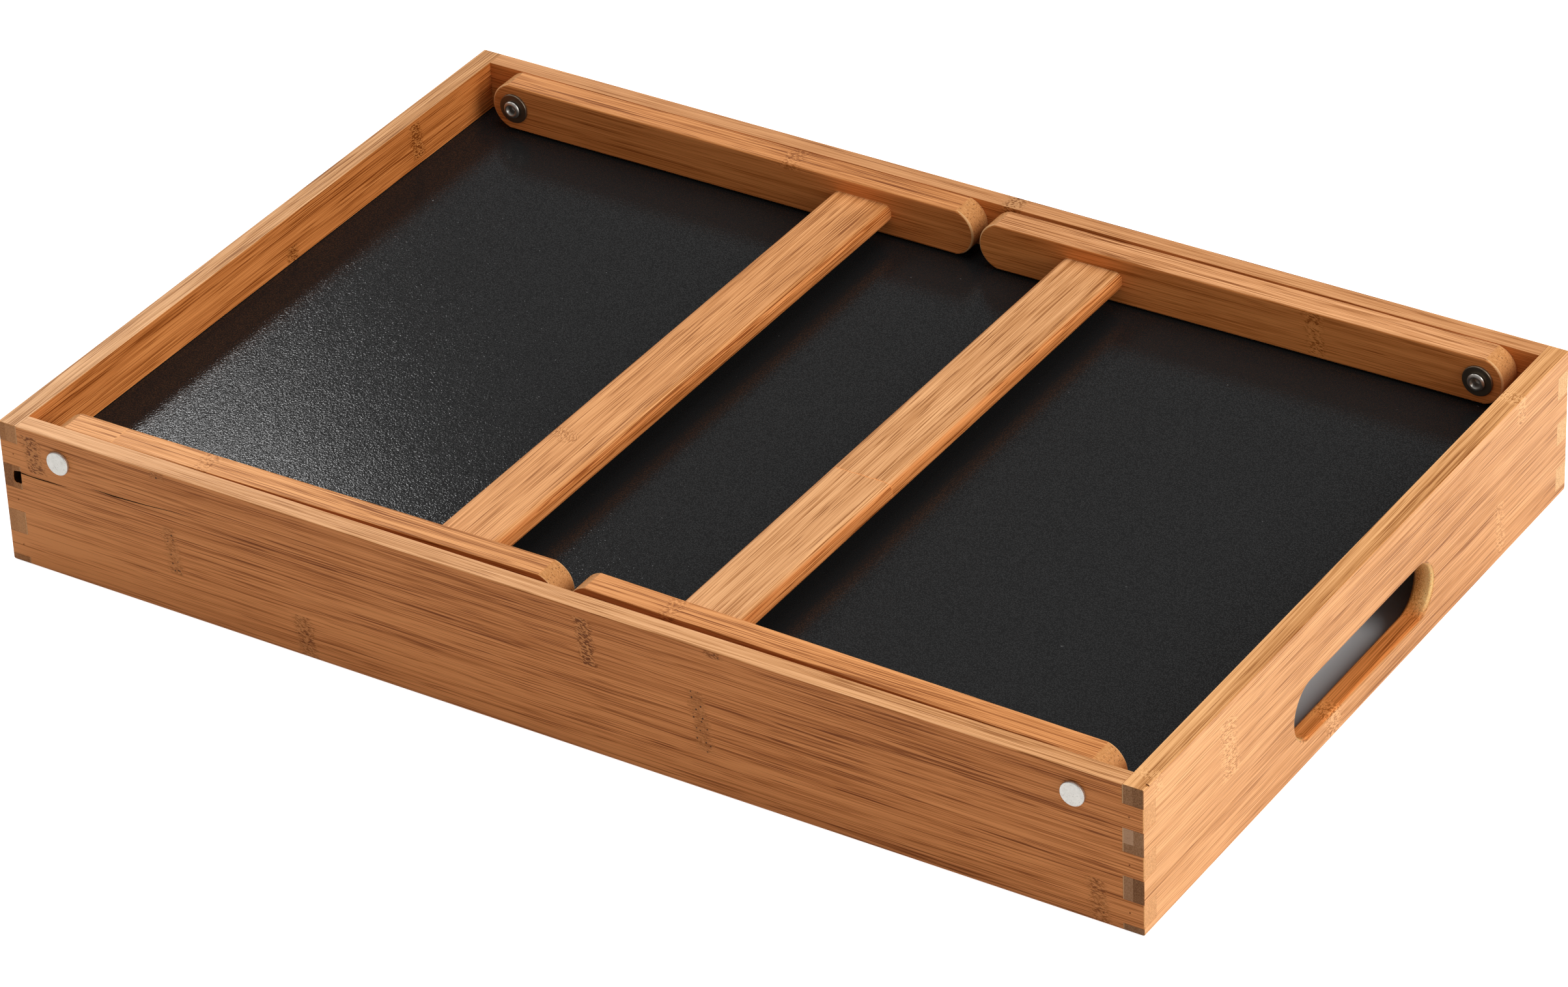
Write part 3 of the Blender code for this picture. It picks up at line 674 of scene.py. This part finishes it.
def metal(name):
    """Metal with fine scratches across it and specks of dirt, and painted shade: darker where it lies inside the
    rails, in the tray's shaded inside.
    """
    colour, roughness, scratch, dirt, bump, inner_shade = METALS[name]
    net = Net(name)
    place = net.node("TexCoord").outputs["Object"]
    haze = net.noise(place, 4.0, 0.6, METAL_HAZE)
    scratched = net.node("Mapping", place, None, SCRATCH_TURN, SCRATCH_SCALE).outputs[0]
    lines = net.ramp(net.noise(scratched, 2.0, 0.5, 1.0), 0.60, 0.72)
    specks = net.ramp(net.noise(place, 2.0, 0.6, METAL_SPECKS), 0.60, 0.68)
    shade = net.blend(net.product(haze, 0.5), colour, tuple(channel * 0.72 for channel in colour))
    shade = net.blend(net.product(specks, dirt), shade, METAL_DIRT)
    depth = net.size(net.node("SeparateXYZ", place).outputs[1])
    # Painted shade: darker where the metal lies inside the rails
    shade = net.blend(net.ramp(depth, 0.156, 0.160, inner_shade, 0.0), shade, METAL_INNER_SHADE)
    rough = net.ramp(haze, 0.3, 0.7, roughness, roughness + 0.12)
    net.set(Base_Color=shade, Metallic=1.0, Roughness=net.math("MULTIPLY_ADD", lines, scratch, rough))
    net.bump(net.total(net.product(lines, -0.6), haze), METAL_RELIEF, bump)
    return net.material


# Shared cutting shapes

def outer_block():
    """The tray's outside: crisp at the top and down the corners, rounder at the serving rim."""
    levels = quarter_round(RIM_ROUND, RIM_STEPS)
    levels += [(inset, HEIGHT - depth) for inset, depth in reversed(quarter_round(OUTER_ROUND, OUTER_STEPS))]
    bm = bmesh.new()
    rings = []
    for inset, height in levels:
        x, y = HALF_LENGTH - inset - OUTER_ROUND, HALF_WIDTH - inset - OUTER_ROUND
        outline = []
        for turn, (side_x, side_y) in enumerate(((1, 1), (-1, 1), (-1, -1), (1, -1))):
            start = turn * math.pi / 2
            outline += arc(side_x * x, side_y * y, OUTER_ROUND, start, start + math.pi / 2, OUTER_STEPS)
        rings.append([bm.verts.new((*point, height)) for point in outline])
    stack(bm, rings)
    return add_object("outer_block", bm)


def side_block(bm, axis, side, inner, bottom, top):
    """A block across the whole tray, from inner outwards: past an end for axis 0, past a long side for axis 1."""
    far = (HALF_LENGTH + OVER, HALF_WIDTH + OVER)
    low, high = [-far[0], -far[1], bottom], [far[0], far[1], top]
    low[axis], high[axis] = sorted((side * inner, side * far[axis]))
    box(bm, low, high)


def finger_notches(first, axis):
    """Room for every second finger, at both ends for axis 0 and at both long sides for axis 1."""
    bm = bmesh.new()
    for index in range(first, len(FINGER_EDGES) - 1, 2):
        top, bottom = FINGER_EDGES[index], FINGER_EDGES[index + 1]
        low = -OVER if bottom <= 0 else bottom - JOINT_GAP
        high = HEIGHT + OVER if top >= HEIGHT else top + JOINT_GAP
        for side in (-1, 1):
            side_block(bm, axis, side, INNER[axis] - JOINT_GAP, low, high)
    return add_object("notches", bm)


def groove():
    bm = bmesh.new()
    x, y = INNER_X + GROOVE_REACH, INNER_Y + GROOVE_REACH
    box(bm, (-x, -y, PANEL_BOTTOM - GAP), (x, y, PANEL_TOP + GAP))
    return add_object("groove", bm)


def slot_sections():
    mouth = quarter_round(SLOT_ROUND, SLOT_EDGE_STEPS)
    outer = list(reversed(mouth))
    inner = [(RAIL - depth, grow) for depth, grow in mouth]
    return [(-OVER, SLOT_ROUND)] + outer + inner + [(RAIL + OVER, SLOT_ROUND)]


def handle_slot(side):
    """One handle slot through an end rail, rounded over at both mouths."""
    bm = bmesh.new()
    rings = []
    straight = SLOT_HALF_LENGTH - SLOT_RADIUS
    for depth, grow in slot_sections():
        radius = SLOT_RADIUS + grow
        outline = arc(straight, SLOT_Z, radius, -math.pi / 2, math.pi / 2, SLOT_END_STEPS)
        outline += arc(-straight, SLOT_Z, radius, math.pi / 2, 3 * math.pi / 2, SLOT_END_STEPS)
        rings.append([bm.verts.new((side * (HALF_LENGTH - depth), y, z)) for y, z in outline])
    stack(bm, rings)
    return add_object("slot", bm)


def leg_outer(side_x, side_y, distance):
    """How far a leg's outer face is from the middle plane, at a distance from its fold axis."""
    start, slope = LEAN[side_x, side_y]
    return INNER_Y - SEAT - slope * max(distance - start, 0.0)


def leg_inner(side_x, side_y, distance):
    return leg_outer(side_x, side_y, distance) - LEG_THICKNESS


def brad_heights():
    return [(FINGER_EDGES[index] + FINGER_EDGES[index + 1]) / 2 for index in BRAD_FINGERS]


def rail_holes():
    """Holes in the long rails: for the four rivets, and small ones for the brads."""
    bm = bmesh.new()
    for side_y in (-1, 1):
        for side_x in (-1, 1):
            start, end = side_y * (INNER_Y - OVER), side_y * (HALF_WIDTH + OVER)
            rod(bm, side_x * PIVOT_X, PIVOT_Z, RIVET_RADIUS + GAP, start, end, RIVET_HOLE_SIDES)
            for height in brad_heights():
                start = side_y * BRAD_HOLE_Y
                rod(bm, side_x * BRAD_X, height, BRAD_HOLE_RADIUS, start, end, BRAD_HOLE_SIDES)
    return add_object("rail_holes", bm)


# Cracks in the front face, as points of (x, z, half width), and their depth
CRACKS = (
    ((-0.24155, 0.04215, 0.00030), (-0.2374, 0.04195, 0.00022), (-0.2327, 0.0419, 0.00030),
     (-0.2280, 0.0421, 0.00026), (-0.2230, 0.0422, 0.00016), (-0.2190, 0.04235, 0.00004)),
    ((-0.2080, 0.0454, 0.00004), (-0.2028, 0.0455, 0.00018), (-0.1966, 0.0454, 0.00030), (-0.1889, 0.0457, 0.00024),
     (-0.1812, 0.0461, 0.00020), (-0.1697, 0.0470, 0.00014), (-0.1582, 0.0472, 0.00004)),
)
CRACK_DEPTH = 0.0028

# Outlines in X and Z of two broken-out places in the end rails, and where each begins and ends along Y
CHIPS = (
    (((-0.2449, 0.0421), (-0.2434, 0.0424), (-0.2414, 0.0428), (-0.2414, 0.0374), (-0.2422, 0.0369),
      (-0.2433, 0.0371), (-0.2443, 0.0369), (-0.2451, 0.0376), (-0.2454, 0.0392), (-0.2452, 0.0410)),
     -HALF_WIDTH - OVER, -0.1608),
    (((0.2479, 0.0632), (0.2503, 0.0632), (0.2503, 0.0621), (0.2496, 0.0624), (0.2489, 0.0626)), -0.1622, -0.1607),
)


def front_cracks():
    bm = bmesh.new()
    for points in CRACKS:
        outline = [(x, z + half) for x, z, half in points] + [(x, z - half) for x, z, half in reversed(points)]
        prism(bm, outline, -HALF_WIDTH - OVER, -HALF_WIDTH + CRACK_DEPTH)
    return add_object("front_cracks", bm)


def broken_places():
    """The broken-out second finger at the front left corner, and a splinter off the front right one."""
    bm = bmesh.new()
    for outline, near, far in CHIPS:
        prism(bm, outline, near, far)
    return add_object("broken_places", bm)


# The object's pieces

KNUCKLES_FRONT = (
    (-171, 4.2, 18.5, 39, 0.7, 0.75), (-110.5, 5.5, -1, 18.2, 0.4, 0.9), (17.5, 4.4, 39, 59, 0, 1),
    (66.5, 4.6, 17.5, 43, 1, 0.85), (231.5, 5, 1, 19, 0.5, 0.8), (-234.5, 5.5, 44, 60, 0, 1),
    (-175, 4.5, 59.5, 62.7, 0.9, 0.9), (73.5, 4.5, 60, 62.7, 0.6, 0.8),
)
KNUCKLES_BACK = (
    (9, 5.5, 52, 63.5, 0, 0.7), (-150, 5, 21, 42, 0.3, 0.9), (120, 5, -1, 20, 0, 1),
    (200, 5.5, 42, 62, 0.6, 0.8),
)
KNUCKLES_RIGHT = (
    (125.5, 5, 52, 63.5, 0, 0.45), (-154.5, 4.5, 56, 63.5, 0.1, 0.35), (-103, 8, 30, 56, 0, 0.45),
    (109, 5, 3, 26, 0.2, 0.4), (-24, 8, -1, 11.6, 0.5, 0.8),
)
KNUCKLES_LEFT = (
    (60, 6, 18, 40, 0.4, 0.9), (20, 6, -1, 12, 0, 0.9),
    (102, 5, 45, 61.5, 0.2, 0.8), (14, 4.5, 41, 49, 0.4, 0.8),
)
PATCHES_RIGHT = (
    (55, 63.5, 0, 245.6, -0.1), (55, 63.5, 245.6, 251, -0.2), (38.2, 44.7, 0, 245.9, 0.34),
    (34, 38.2, 0, 251, -0.1), (38.2, 44.7, 245.9, 251, -0.05), (13.8, 24.1, 245.6, 251, -0.24),
    (0, 3.6, 0, 251, -0.1),
)
PATCHES_LEFT = (
    (55, 63.5, -251, -246.8, -0.02), (55, 63.5, -246.8, 0, 0.12), (34, 44.8, -251, -245.6, -0.2),
    (34, 44.8, -245.6, 0, -0.1), (13.8, 24.1, -251, -246, 0.1), (13.8, 24.1, -246, 0, 0.2),
    (0, 3.6, -251, 0, -0.06),
)

# How each bamboo piece differs; a rail's seed comes first
RAIL_LOOKS = {
    "front_rail": (3, dict(
        # Painted light: the front face's lowest strip is lighter, to lift the shade near the floor
        wide_strips=((-1, 0.06), (20, -0.01), (41, -0.04)), thick_strips=((-160.8, -0.04),),
        knuckles=KNUCKLES_FRONT, fades=((-120, -240, 0.17), (60, 150, -0.05)),
        shaded_hollows=((-242, -157, 41.4, 47.9, -164.9, -161),), streaks=1.5, dots=0.15, smudge=0.42, lift=0.04,
    )),
    "back_rail": (41, dict(
        wide_strips=((20.5, -0.03), (42, 0.02)), thick_strips=((160.8, 0.03),), knuckles=KNUCKLES_BACK,
        streaks=1.2, edge_streaks=1.1, dots=0.3,
    )),
    "right_rail": (77, dict(
        wide_strips=((21, 0.02), (42.5, 0)), thick_strips=((245.6, -0.1), (249.4, -0.2), (249.9, -0.05)),
        knuckles=KNUCKLES_RIGHT, patches=PATCHES_RIGHT, pale_seam=241.7, pale_knuckles=0.3, looks_in=-1,
        fades=((-50, -150, 0.13), (-50, 40, -0.05), (60, 110, 0.08)), smudge=0.1, dots=0.45,
    )),
    "left_rail": (113, dict(
        wide_strips=((20, 0.02), (43, -0.02)), thick_strips=((-245.8, -0.05),),
        knuckles=KNUCKLES_LEFT, patches=PATCHES_LEFT, pale_seam=-241.7, looks_in=1, fades=((30, 120, -0.07),),
        shaded_hollows=((-164.8, -160, 36.6, 42.9, -245.6, -241.4),), streaks=1.3, edge_streaks=1.3, dots=0.5,
    )),
}
LEG_LOOKS = {
    (-1, -1): dict(
        thick_strips=((-152, -0.02),), joints=(-202.8,), knuckles=((-161, 5, 50, 64, 0, 0.4),),
        fades=((-50, -130, 0.2),), lift=-0.05,
    ),
    (1, -1): dict(
        thick_strips=((-149, 0.03),), fades=((90, 150, -0.08),),
        knuckles=((46.5, 5, 50, 64, 0, 0.4), (170, 6, 40, 52, 0, 0.7)),
    ),
    (-1, 1): dict(
        wide_strips=((52, 0.03),), thick_strips=((150, -0.02),), knuckles=((-88, 6, 60, 64, 0, 0.4),),
        fades=((-110, -50, -0.06),), lift=-0.03,
    ),
    (1, 1): dict(
        wide_strips=((56.5, -0.05),), thick_strips=((150.5, 0),), knuckles=((152, 5, 44, 62, 0.3, 0.7),),
        fades=((90, 160, 0.1),), lift=-0.03,
    ),
}
BAR_LOOKS = {
    -1: dict(
        wide_strips=((-45.5, -0.06),), knuckles=((-61, 5, -66, -54, 0, 0.4),),
        fades=((-60, -110, 0.06),), lift=-0.04,
    ),
    1: dict(wide_strips=((61.5, -0.06),), joints=(-31,), fades=((70, 30, 0.05),), lift=0.02),
}


def coat(item, material):
    item.data.materials.clear()
    item.data.materials.append(material)


def keep(item, body, slot, material, *nodes):
    """Give a piece its material and its body, and hide the CAD nodes that it stands for; slot is not used."""
    coat(item, material)
    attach(item, body)
    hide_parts(*nodes)


def corner_words(side_x, side_y):
    return f"{'front' if side_y < 0 else 'back'}_{'left' if side_x < 0 else 'right'}"


def frame_body(side_x):
    return "left_leg_frame" if side_x < 0 else "right_leg_frame"


def remove(*items):
    for item in items:
        bpy.data.objects.remove(item, do_unlink=True)


def ease_inner(item, axis, inner):
    """Round the long edges of a block that lie on its inner face."""
    weights = item.data.attributes.new("bevel_weight_edge", "FLOAT", "EDGE")
    for edge in item.data.edges:
        ends = [item.data.vertices[index].co for index in edge.vertices]
        lies_inside = all(abs(end[axis] - inner) < TOUCH for end in ends)
        runs_along = abs(ends[0][1 - axis] - ends[1][1 - axis]) > LONG_EDGE
        weights.data[edge.index].value = 1.0 if lies_inside and runs_along else 0.0
    modifier(item, "BEVEL", width=INNER_EDGE_ROUND, segments=INNER_EDGE_STEPS, limit_method="WEIGHT")
    return bake(item)


def rail_block(name, axis, side):
    """A rail's own block, uncut, with its inner edges eased."""
    bm = bmesh.new()
    side_block(bm, axis, side, INNER[axis], 0.0, HEIGHT)
    return ease_inner(add_object(name + "_piece", bm), axis, side * INNER[axis])


def build_rails():
    outer = outer_block()
    end_notches = finger_notches(0, 0)
    long_notches = finger_notches(1, 1)
    channel = groove()
    holes = rail_holes()
    cracks = front_cracks()
    broken = broken_places()
    slots = {side: handle_slot(side) for side in (-1, 1)}
    rails = (
        ("front_rail", 1, -1, "long_rail_bamboo", (end_notches, channel, holes, cracks)),
        ("back_rail", 1, 1, "long_rail_bamboo", (end_notches, channel, holes)),
        ("left_rail", 0, -1, "end_rail_bamboo", (long_notches, channel, slots[-1], broken)),
        ("right_rail", 0, 1, "end_rail_bamboo", (long_notches, channel, slots[1], broken)),
    )
    for name, axis, side, slot, cutters in rails:
        steps = [(outer, "INTERSECT")] + [(cutter, "DIFFERENCE") for cutter in cutters]
        rail = finish_shape(cut(rail_block(name, axis, side), *steps))
        seed, look = RAIL_LOOKS[name]
        material = bamboo(name, (0, 2, 1) if axis else (1, 2, 0), seed, **look)
        keep(rail, "tray", slot, material, name)
    remove(outer, end_notches, long_notches, channel, holes, cracks, broken, *slots.values())


def build_panel():
    bm = bmesh.new()
    x, y = INNER_X + GROOVE_REACH - PANEL_PLAY, INNER_Y + GROOVE_REACH - PANEL_PLAY
    box(bm, (-x, -y, PANEL_BOTTOM), (x, y, PANEL_TOP))
    item = add_object("panel_piece", bm)
    modifier(item, "BEVEL", width=PANEL_ROUND, segments=PANEL_STEPS, limit_method="ANGLE")
    keep(finish_shape(bake(item)), "tray", "panel_black", black_panel(), "panel")


def leg_outline(inset, bend):
    """A leg's side view about its fold axis, drawn in by inset, with a point at its bend on both long sides."""
    radius, half = LEG_END_RADIUS - inset, LEG_WIDTH / 2 - inset
    spread = math.asin(half / radius)
    foot = arc(LEG_REACH - LEG_END_RADIUS, 0, radius, -spread, spread, LEG_END_STEPS)
    hinge_end = arc(0, 0, radius, math.pi - spread, math.pi + spread, LEG_END_STEPS)
    return foot + [(bend, half)] + hinge_end + [(bend, -half)]


def leg_shape(side_x, side_y):
    """A leg with straight sides and nearly half-round ends, rounder on its inner edges."""
    bend = max(LEAN[side_x, side_y][0], LEG_END_RADIUS)
    levels = quarter_round(LEG_OUTER_ROUND, LEG_EDGE_STEPS)
    inner_levels = reversed(quarter_round(LEG_INNER_ROUND, LEG_EDGE_STEPS))
    levels += [(inset, LEG_THICKNESS - depth) for inset, depth in inner_levels]
    bm = bmesh.new()
    rings = []
    for inset, depth in levels:
        ring = []
        for distance, z in leg_outline(inset, bend):
            y = leg_outer(side_x, side_y, distance) - depth
            ring.append(bm.verts.new((side_x * (PIVOT_X - distance), side_y * y, PIVOT_Z + z)))
        rings.append(ring)
    stack(bm, rings)
    return add_object(f"leg_{corner_words(side_x, side_y)}_piece", bm)


def frame_holes():
    """Holes for the rivets in the legs, and for the dowels in the legs and crossbars."""
    rivets, dowels = bmesh.new(), bmesh.new()
    for side_x in (-1, 1):
        for side_y in (-1, 1):
            start, end = side_y * (leg_inner(side_x, side_y, 0) - OVER), side_y * HALF_WIDTH
            rod(rivets, side_x * PIVOT_X, PIVOT_Z, RIVET_RADIUS + GAP, start, end, RIVET_HOLE_SIDES)
            for step in (-0.5, 0.5):
                distance = BAR_FROM_PIVOT + step * DOWEL_SPACING
                face = leg_inner(side_x, side_y, distance)
                start, end = side_y * (face - DOWEL_REACH), side_y * (face + DOWEL_REACH)
                rod(dowels, side_x * (PIVOT_X - distance), PIVOT_Z, DOWEL_HOLE, start, end, DOWEL_HOLE_SIDES)
    return add_object("rivet_holes", rivets), add_object("dowel_holes", dowels)


def bar_shape(side_x):
    half_x, half_z = BAR_WIDTH / 2 - BAR_ROUND, BAR_THICKNESS / 2 - BAR_ROUND
    centre = side_x * (PIVOT_X - BAR_FROM_PIVOT)
    outline = []
    for turn, (x, z) in enumerate(((half_x, half_z), (-half_x, half_z), (-half_x, -half_z), (half_x, -half_z))):
        start, end = turn * math.pi / 2, (turn + 1) * math.pi / 2
        outline += arc(centre + x, PIVOT_Z + z, BAR_ROUND, start, end, BAR_STEPS)
    bm = bmesh.new()
    ends = [
        lambda x: -(leg_inner(side_x, -1, PIVOT_X - side_x * x) - JOINT_GAP),
        lambda x: leg_inner(side_x, 1, PIVOT_X - side_x * x) - JOINT_GAP,
    ]
    prism(bm, outline, *ends)
    return add_object(f"crossbar_{'left' if side_x < 0 else 'right'}_piece", bm)


def build_frames():
    rivet_holes, dowel_holes = frame_holes()
    for index, ((side_x, side_y), look) in enumerate(LEG_LOOKS.items()):
        piece = f"leg_{corner_words(side_x, side_y)}"
        material = bamboo(piece, (0, 2, 1), 150 + 31 * index, smudge=0.15, streaks=0.8, edge_streaks=1.6, dots=0.85,
                          pale_rim=0.8, **look)
        leg = cut(leg_shape(side_x, side_y), (rivet_holes, "DIFFERENCE"), (dowel_holes, "DIFFERENCE"))
        keep(finish_shape(leg, CRISP_LEG), frame_body(side_x), "leg_bamboo", material, piece)
    for side_x, look in BAR_LOOKS.items():
        piece = "crossbar_left" if side_x < 0 else "crossbar_right"
        material = bamboo(piece, (1, 0, 2), 300 + 17 * side_x, smudge=0.2, dashes=0.5, streaks=1.2,
                          edge_streaks=1.8, **look)
        bar = cut(bar_shape(side_x), (dowel_holes, "DIFFERENCE"))
        keep(finish_shape(bar), frame_body(side_x), "crossbar_bamboo", material, piece)
    remove(rivet_holes, dowel_holes)


def rivet_profile(grip):
    """A hollow rivet from its head's middle, over the flared end, to the bottom of its bore."""
    top, under = GAP + HEAD_HEIGHT, -grip - GAP
    profile = [(0, top - HEAD_DIP), (HEAD_RADIUS / 2, top - HEAD_DIP)]
    profile += rounded_rim(HEAD_RADIUS, top, HEAD_ROUND)
    profile += [(HEAD_RADIUS, RIVET_GAP), (RIVET_RADIUS, RIVET_GAP), (RIVET_RADIUS, under)]
    profile += [(FLARE_RADIUS - inset, under - past) for inset, past in FLARE]
    profile += [(radius, under + back) for radius, back in BORE]
    return profile


def washer_profile():
    inner = RIVET_RADIUS + GAP
    profile = [(inner, 0.0), (inner, WASHER_THICKNESS - WASHER_EASE), (inner + WASHER_EASE, WASHER_THICKNESS)]
    profile += rounded_rim(WASHER_RADIUS, WASHER_THICKNESS, WASHER_ROUND)
    return profile + [(WASHER_RADIUS, 0.0)]


def build_rivets():
    aluminium, steel = metal("rivet_aluminium_worn"), metal("washer_dark_steel")
    for side_x, side_y in ((-1, -1), (-1, 1), (1, -1), (1, 1)):
        words = corner_words(side_x, side_y)
        face = leg_inner(side_x, side_y, 0)
        profile = rivet_profile(HALF_WIDTH - face + GAP + WASHER_THICKNESS)
        place = (side_x * PIVOT_X, side_y * HALF_WIDTH, PIVOT_Z)
        rivet = turned(f"rivet_{words}_piece", profile, RIVET_SIDES, place, side_y)
        keep(rivet, "tray", "rivet_aluminium", aluminium, f"rivet_{words}")
        place = (side_x * PIVOT_X, side_y * (face - RIVET_GAP), PIVOT_Z)
        washer = turned(f"washer_{words}_piece", washer_profile(), RIVET_SIDES, place, -side_y)
        keep(washer, frame_body(side_x), "washer_dark_steel", steel, f"washer_{words}")


def build_brads():
    """Thin headless brads, sunk in the small holes at the corners."""
    steel = metal("brad_dull_steel")
    for side_x in (-1, 1):
        for side_y in (-1, 1):
            for number, height in enumerate(brad_heights(), 1):
                place = (side_x * BRAD_X, side_y * BRAD_TOP_Y, height)
                words = f"brad_{corner_words(side_x, side_y)}_{number}"
                brad = turned(words + "_piece", BRAD_PROFILE, BRAD_SIDES, place, side_y)
                keep(brad, "tray", "brad_steel", steel, words)


def finish_dowels():
    """Give the dowels, which keep the CAD's shape, a plain wood with its own grain."""
    wood = bamboo("dowel", (1, 0, 2), 500, dashes=0.2, streaks=0.6, dots=0.2)
    for name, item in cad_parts.items():
        if name.startswith("dowel_"):
            coat(item, wood)


# Studio: each lamp's place, size and power
LAMPS = {
    "right": ((1.75, -0.05, 0.62), (1.1, 0.8), 14.8),
    "high": ((1.4, 0.25, 1.15), (0.9, 0.7), 9.4),
    "sheen": ((-1.758, 0.873, 1.527), (1.45, 0.34), 19.5),
    "top": ((-0.1, 0.42, 2.3), (1.2, 1.2), 13.4),
}
LAMP_TARGET = (0.0, 0.0, 0.04)
WORLD_LEVEL = 0.36
WHITE = (1.0, 1.0, 1.0, 1.0)
FLOOR_HALF = 40.0
FLOOR_COLOUR = (0.80, 0.80, 0.80, 1.0)
FLOOR_GLOW = 0.85
GLOW_EDGE = (-0.004, -0.001)
MIRRORED_SHARE = 0.35
CAMERA_PLACE = (1.1664, -1.7703, 1.3806)
CAMERA_TURN = (57.172, 2.151, 32.036)
CAMERA_LENS = 150.48
SENSOR_WIDTH = 36.0


def floor():
    """A pale floor that looks white to the camera, but not under the tray."""
    bm = bmesh.new()
    corners = ((-1, -1), (1, -1), (1, 1), (-1, 1))
    bm.faces.new([bm.verts.new((x * FLOOR_HALF, y * FLOOR_HALF, 0)) for x, y in corners])
    item = add_object("floor", bm)
    net = Net("floor_white")
    net.set(Base_Color=FLOOR_COLOUR, Roughness=0.9, Specular_IOR_Level=0.0)
    path = net.node("LightPath").outputs
    mirrored = net.math("MAXIMUM", path["Is Glossy Ray"], path["Is Transmission Ray"])
    seen = net.math("MAXIMUM", path["Is Camera Ray"], net.product(mirrored, MIRRORED_SHARE))
    place = net.node("SeparateXYZ", net.node("TexCoord").outputs["Object"])
    away = net.math(
        "MAXIMUM",
        net.math("SUBTRACT", net.size(place.outputs[0]), HALF_LENGTH),
        net.math("SUBTRACT", net.size(place.outputs[1]), HALF_WIDTH),
    )
    glow = net.product(net.ramp(away, *GLOW_EDGE), FLOOR_GLOW)
    net.set(Emission_Color=WHITE, Emission_Strength=net.product(seen, glow))
    coat(item, net.material)


def area_light(name, place, size, power):
    data = bpy.data.lights.new(name, "AREA")
    data.shape = "RECTANGLE"
    data.size, data.size_y = size
    data.energy = power
    item = bpy.data.objects.new(name, data)
    bpy.context.scene.collection.objects.link(item)
    item.location = place
    item.rotation_euler = (Vector(LAMP_TARGET) - item.location).to_track_quat("-Z", "Y").to_euler()
    item.visible_camera = False


def lights():
    world = bpy.data.worlds.new("studio")
    bpy.context.scene.world = world
    world.use_nodes = True
    background = world.node_tree.nodes["Background"].inputs
    background["Color"].default_value = WHITE
    background["Strength"].default_value = WORLD_LEVEL
    for name, (place, size, power) in LAMPS.items():
        area_light(name, place, size, power)


def camera():
    data = bpy.data.cameras.new("camera")
    data.sensor_width = SENSOR_WIDTH
    data.lens = CAMERA_LENS
    data.clip_start, data.clip_end = 0.1, 100.0
    item = bpy.data.objects.new("camera", data)
    bpy.context.scene.collection.objects.link(item)
    item.location = CAMERA_PLACE
    item.rotation_euler = [math.radians(angle) for angle in CAMERA_TURN]
    bpy.context.scene.camera = item


for start_object in ("Cube", "Light", "Camera"):
    if start_object in bpy.data.objects:
        remove(bpy.data.objects[start_object])
bpy.context.scene.view_settings.view_transform = "Standard"
camera()
floor()
lights()
build_rails()
build_panel()
build_frames()
build_rivets()
build_brads()
finish_dowels()
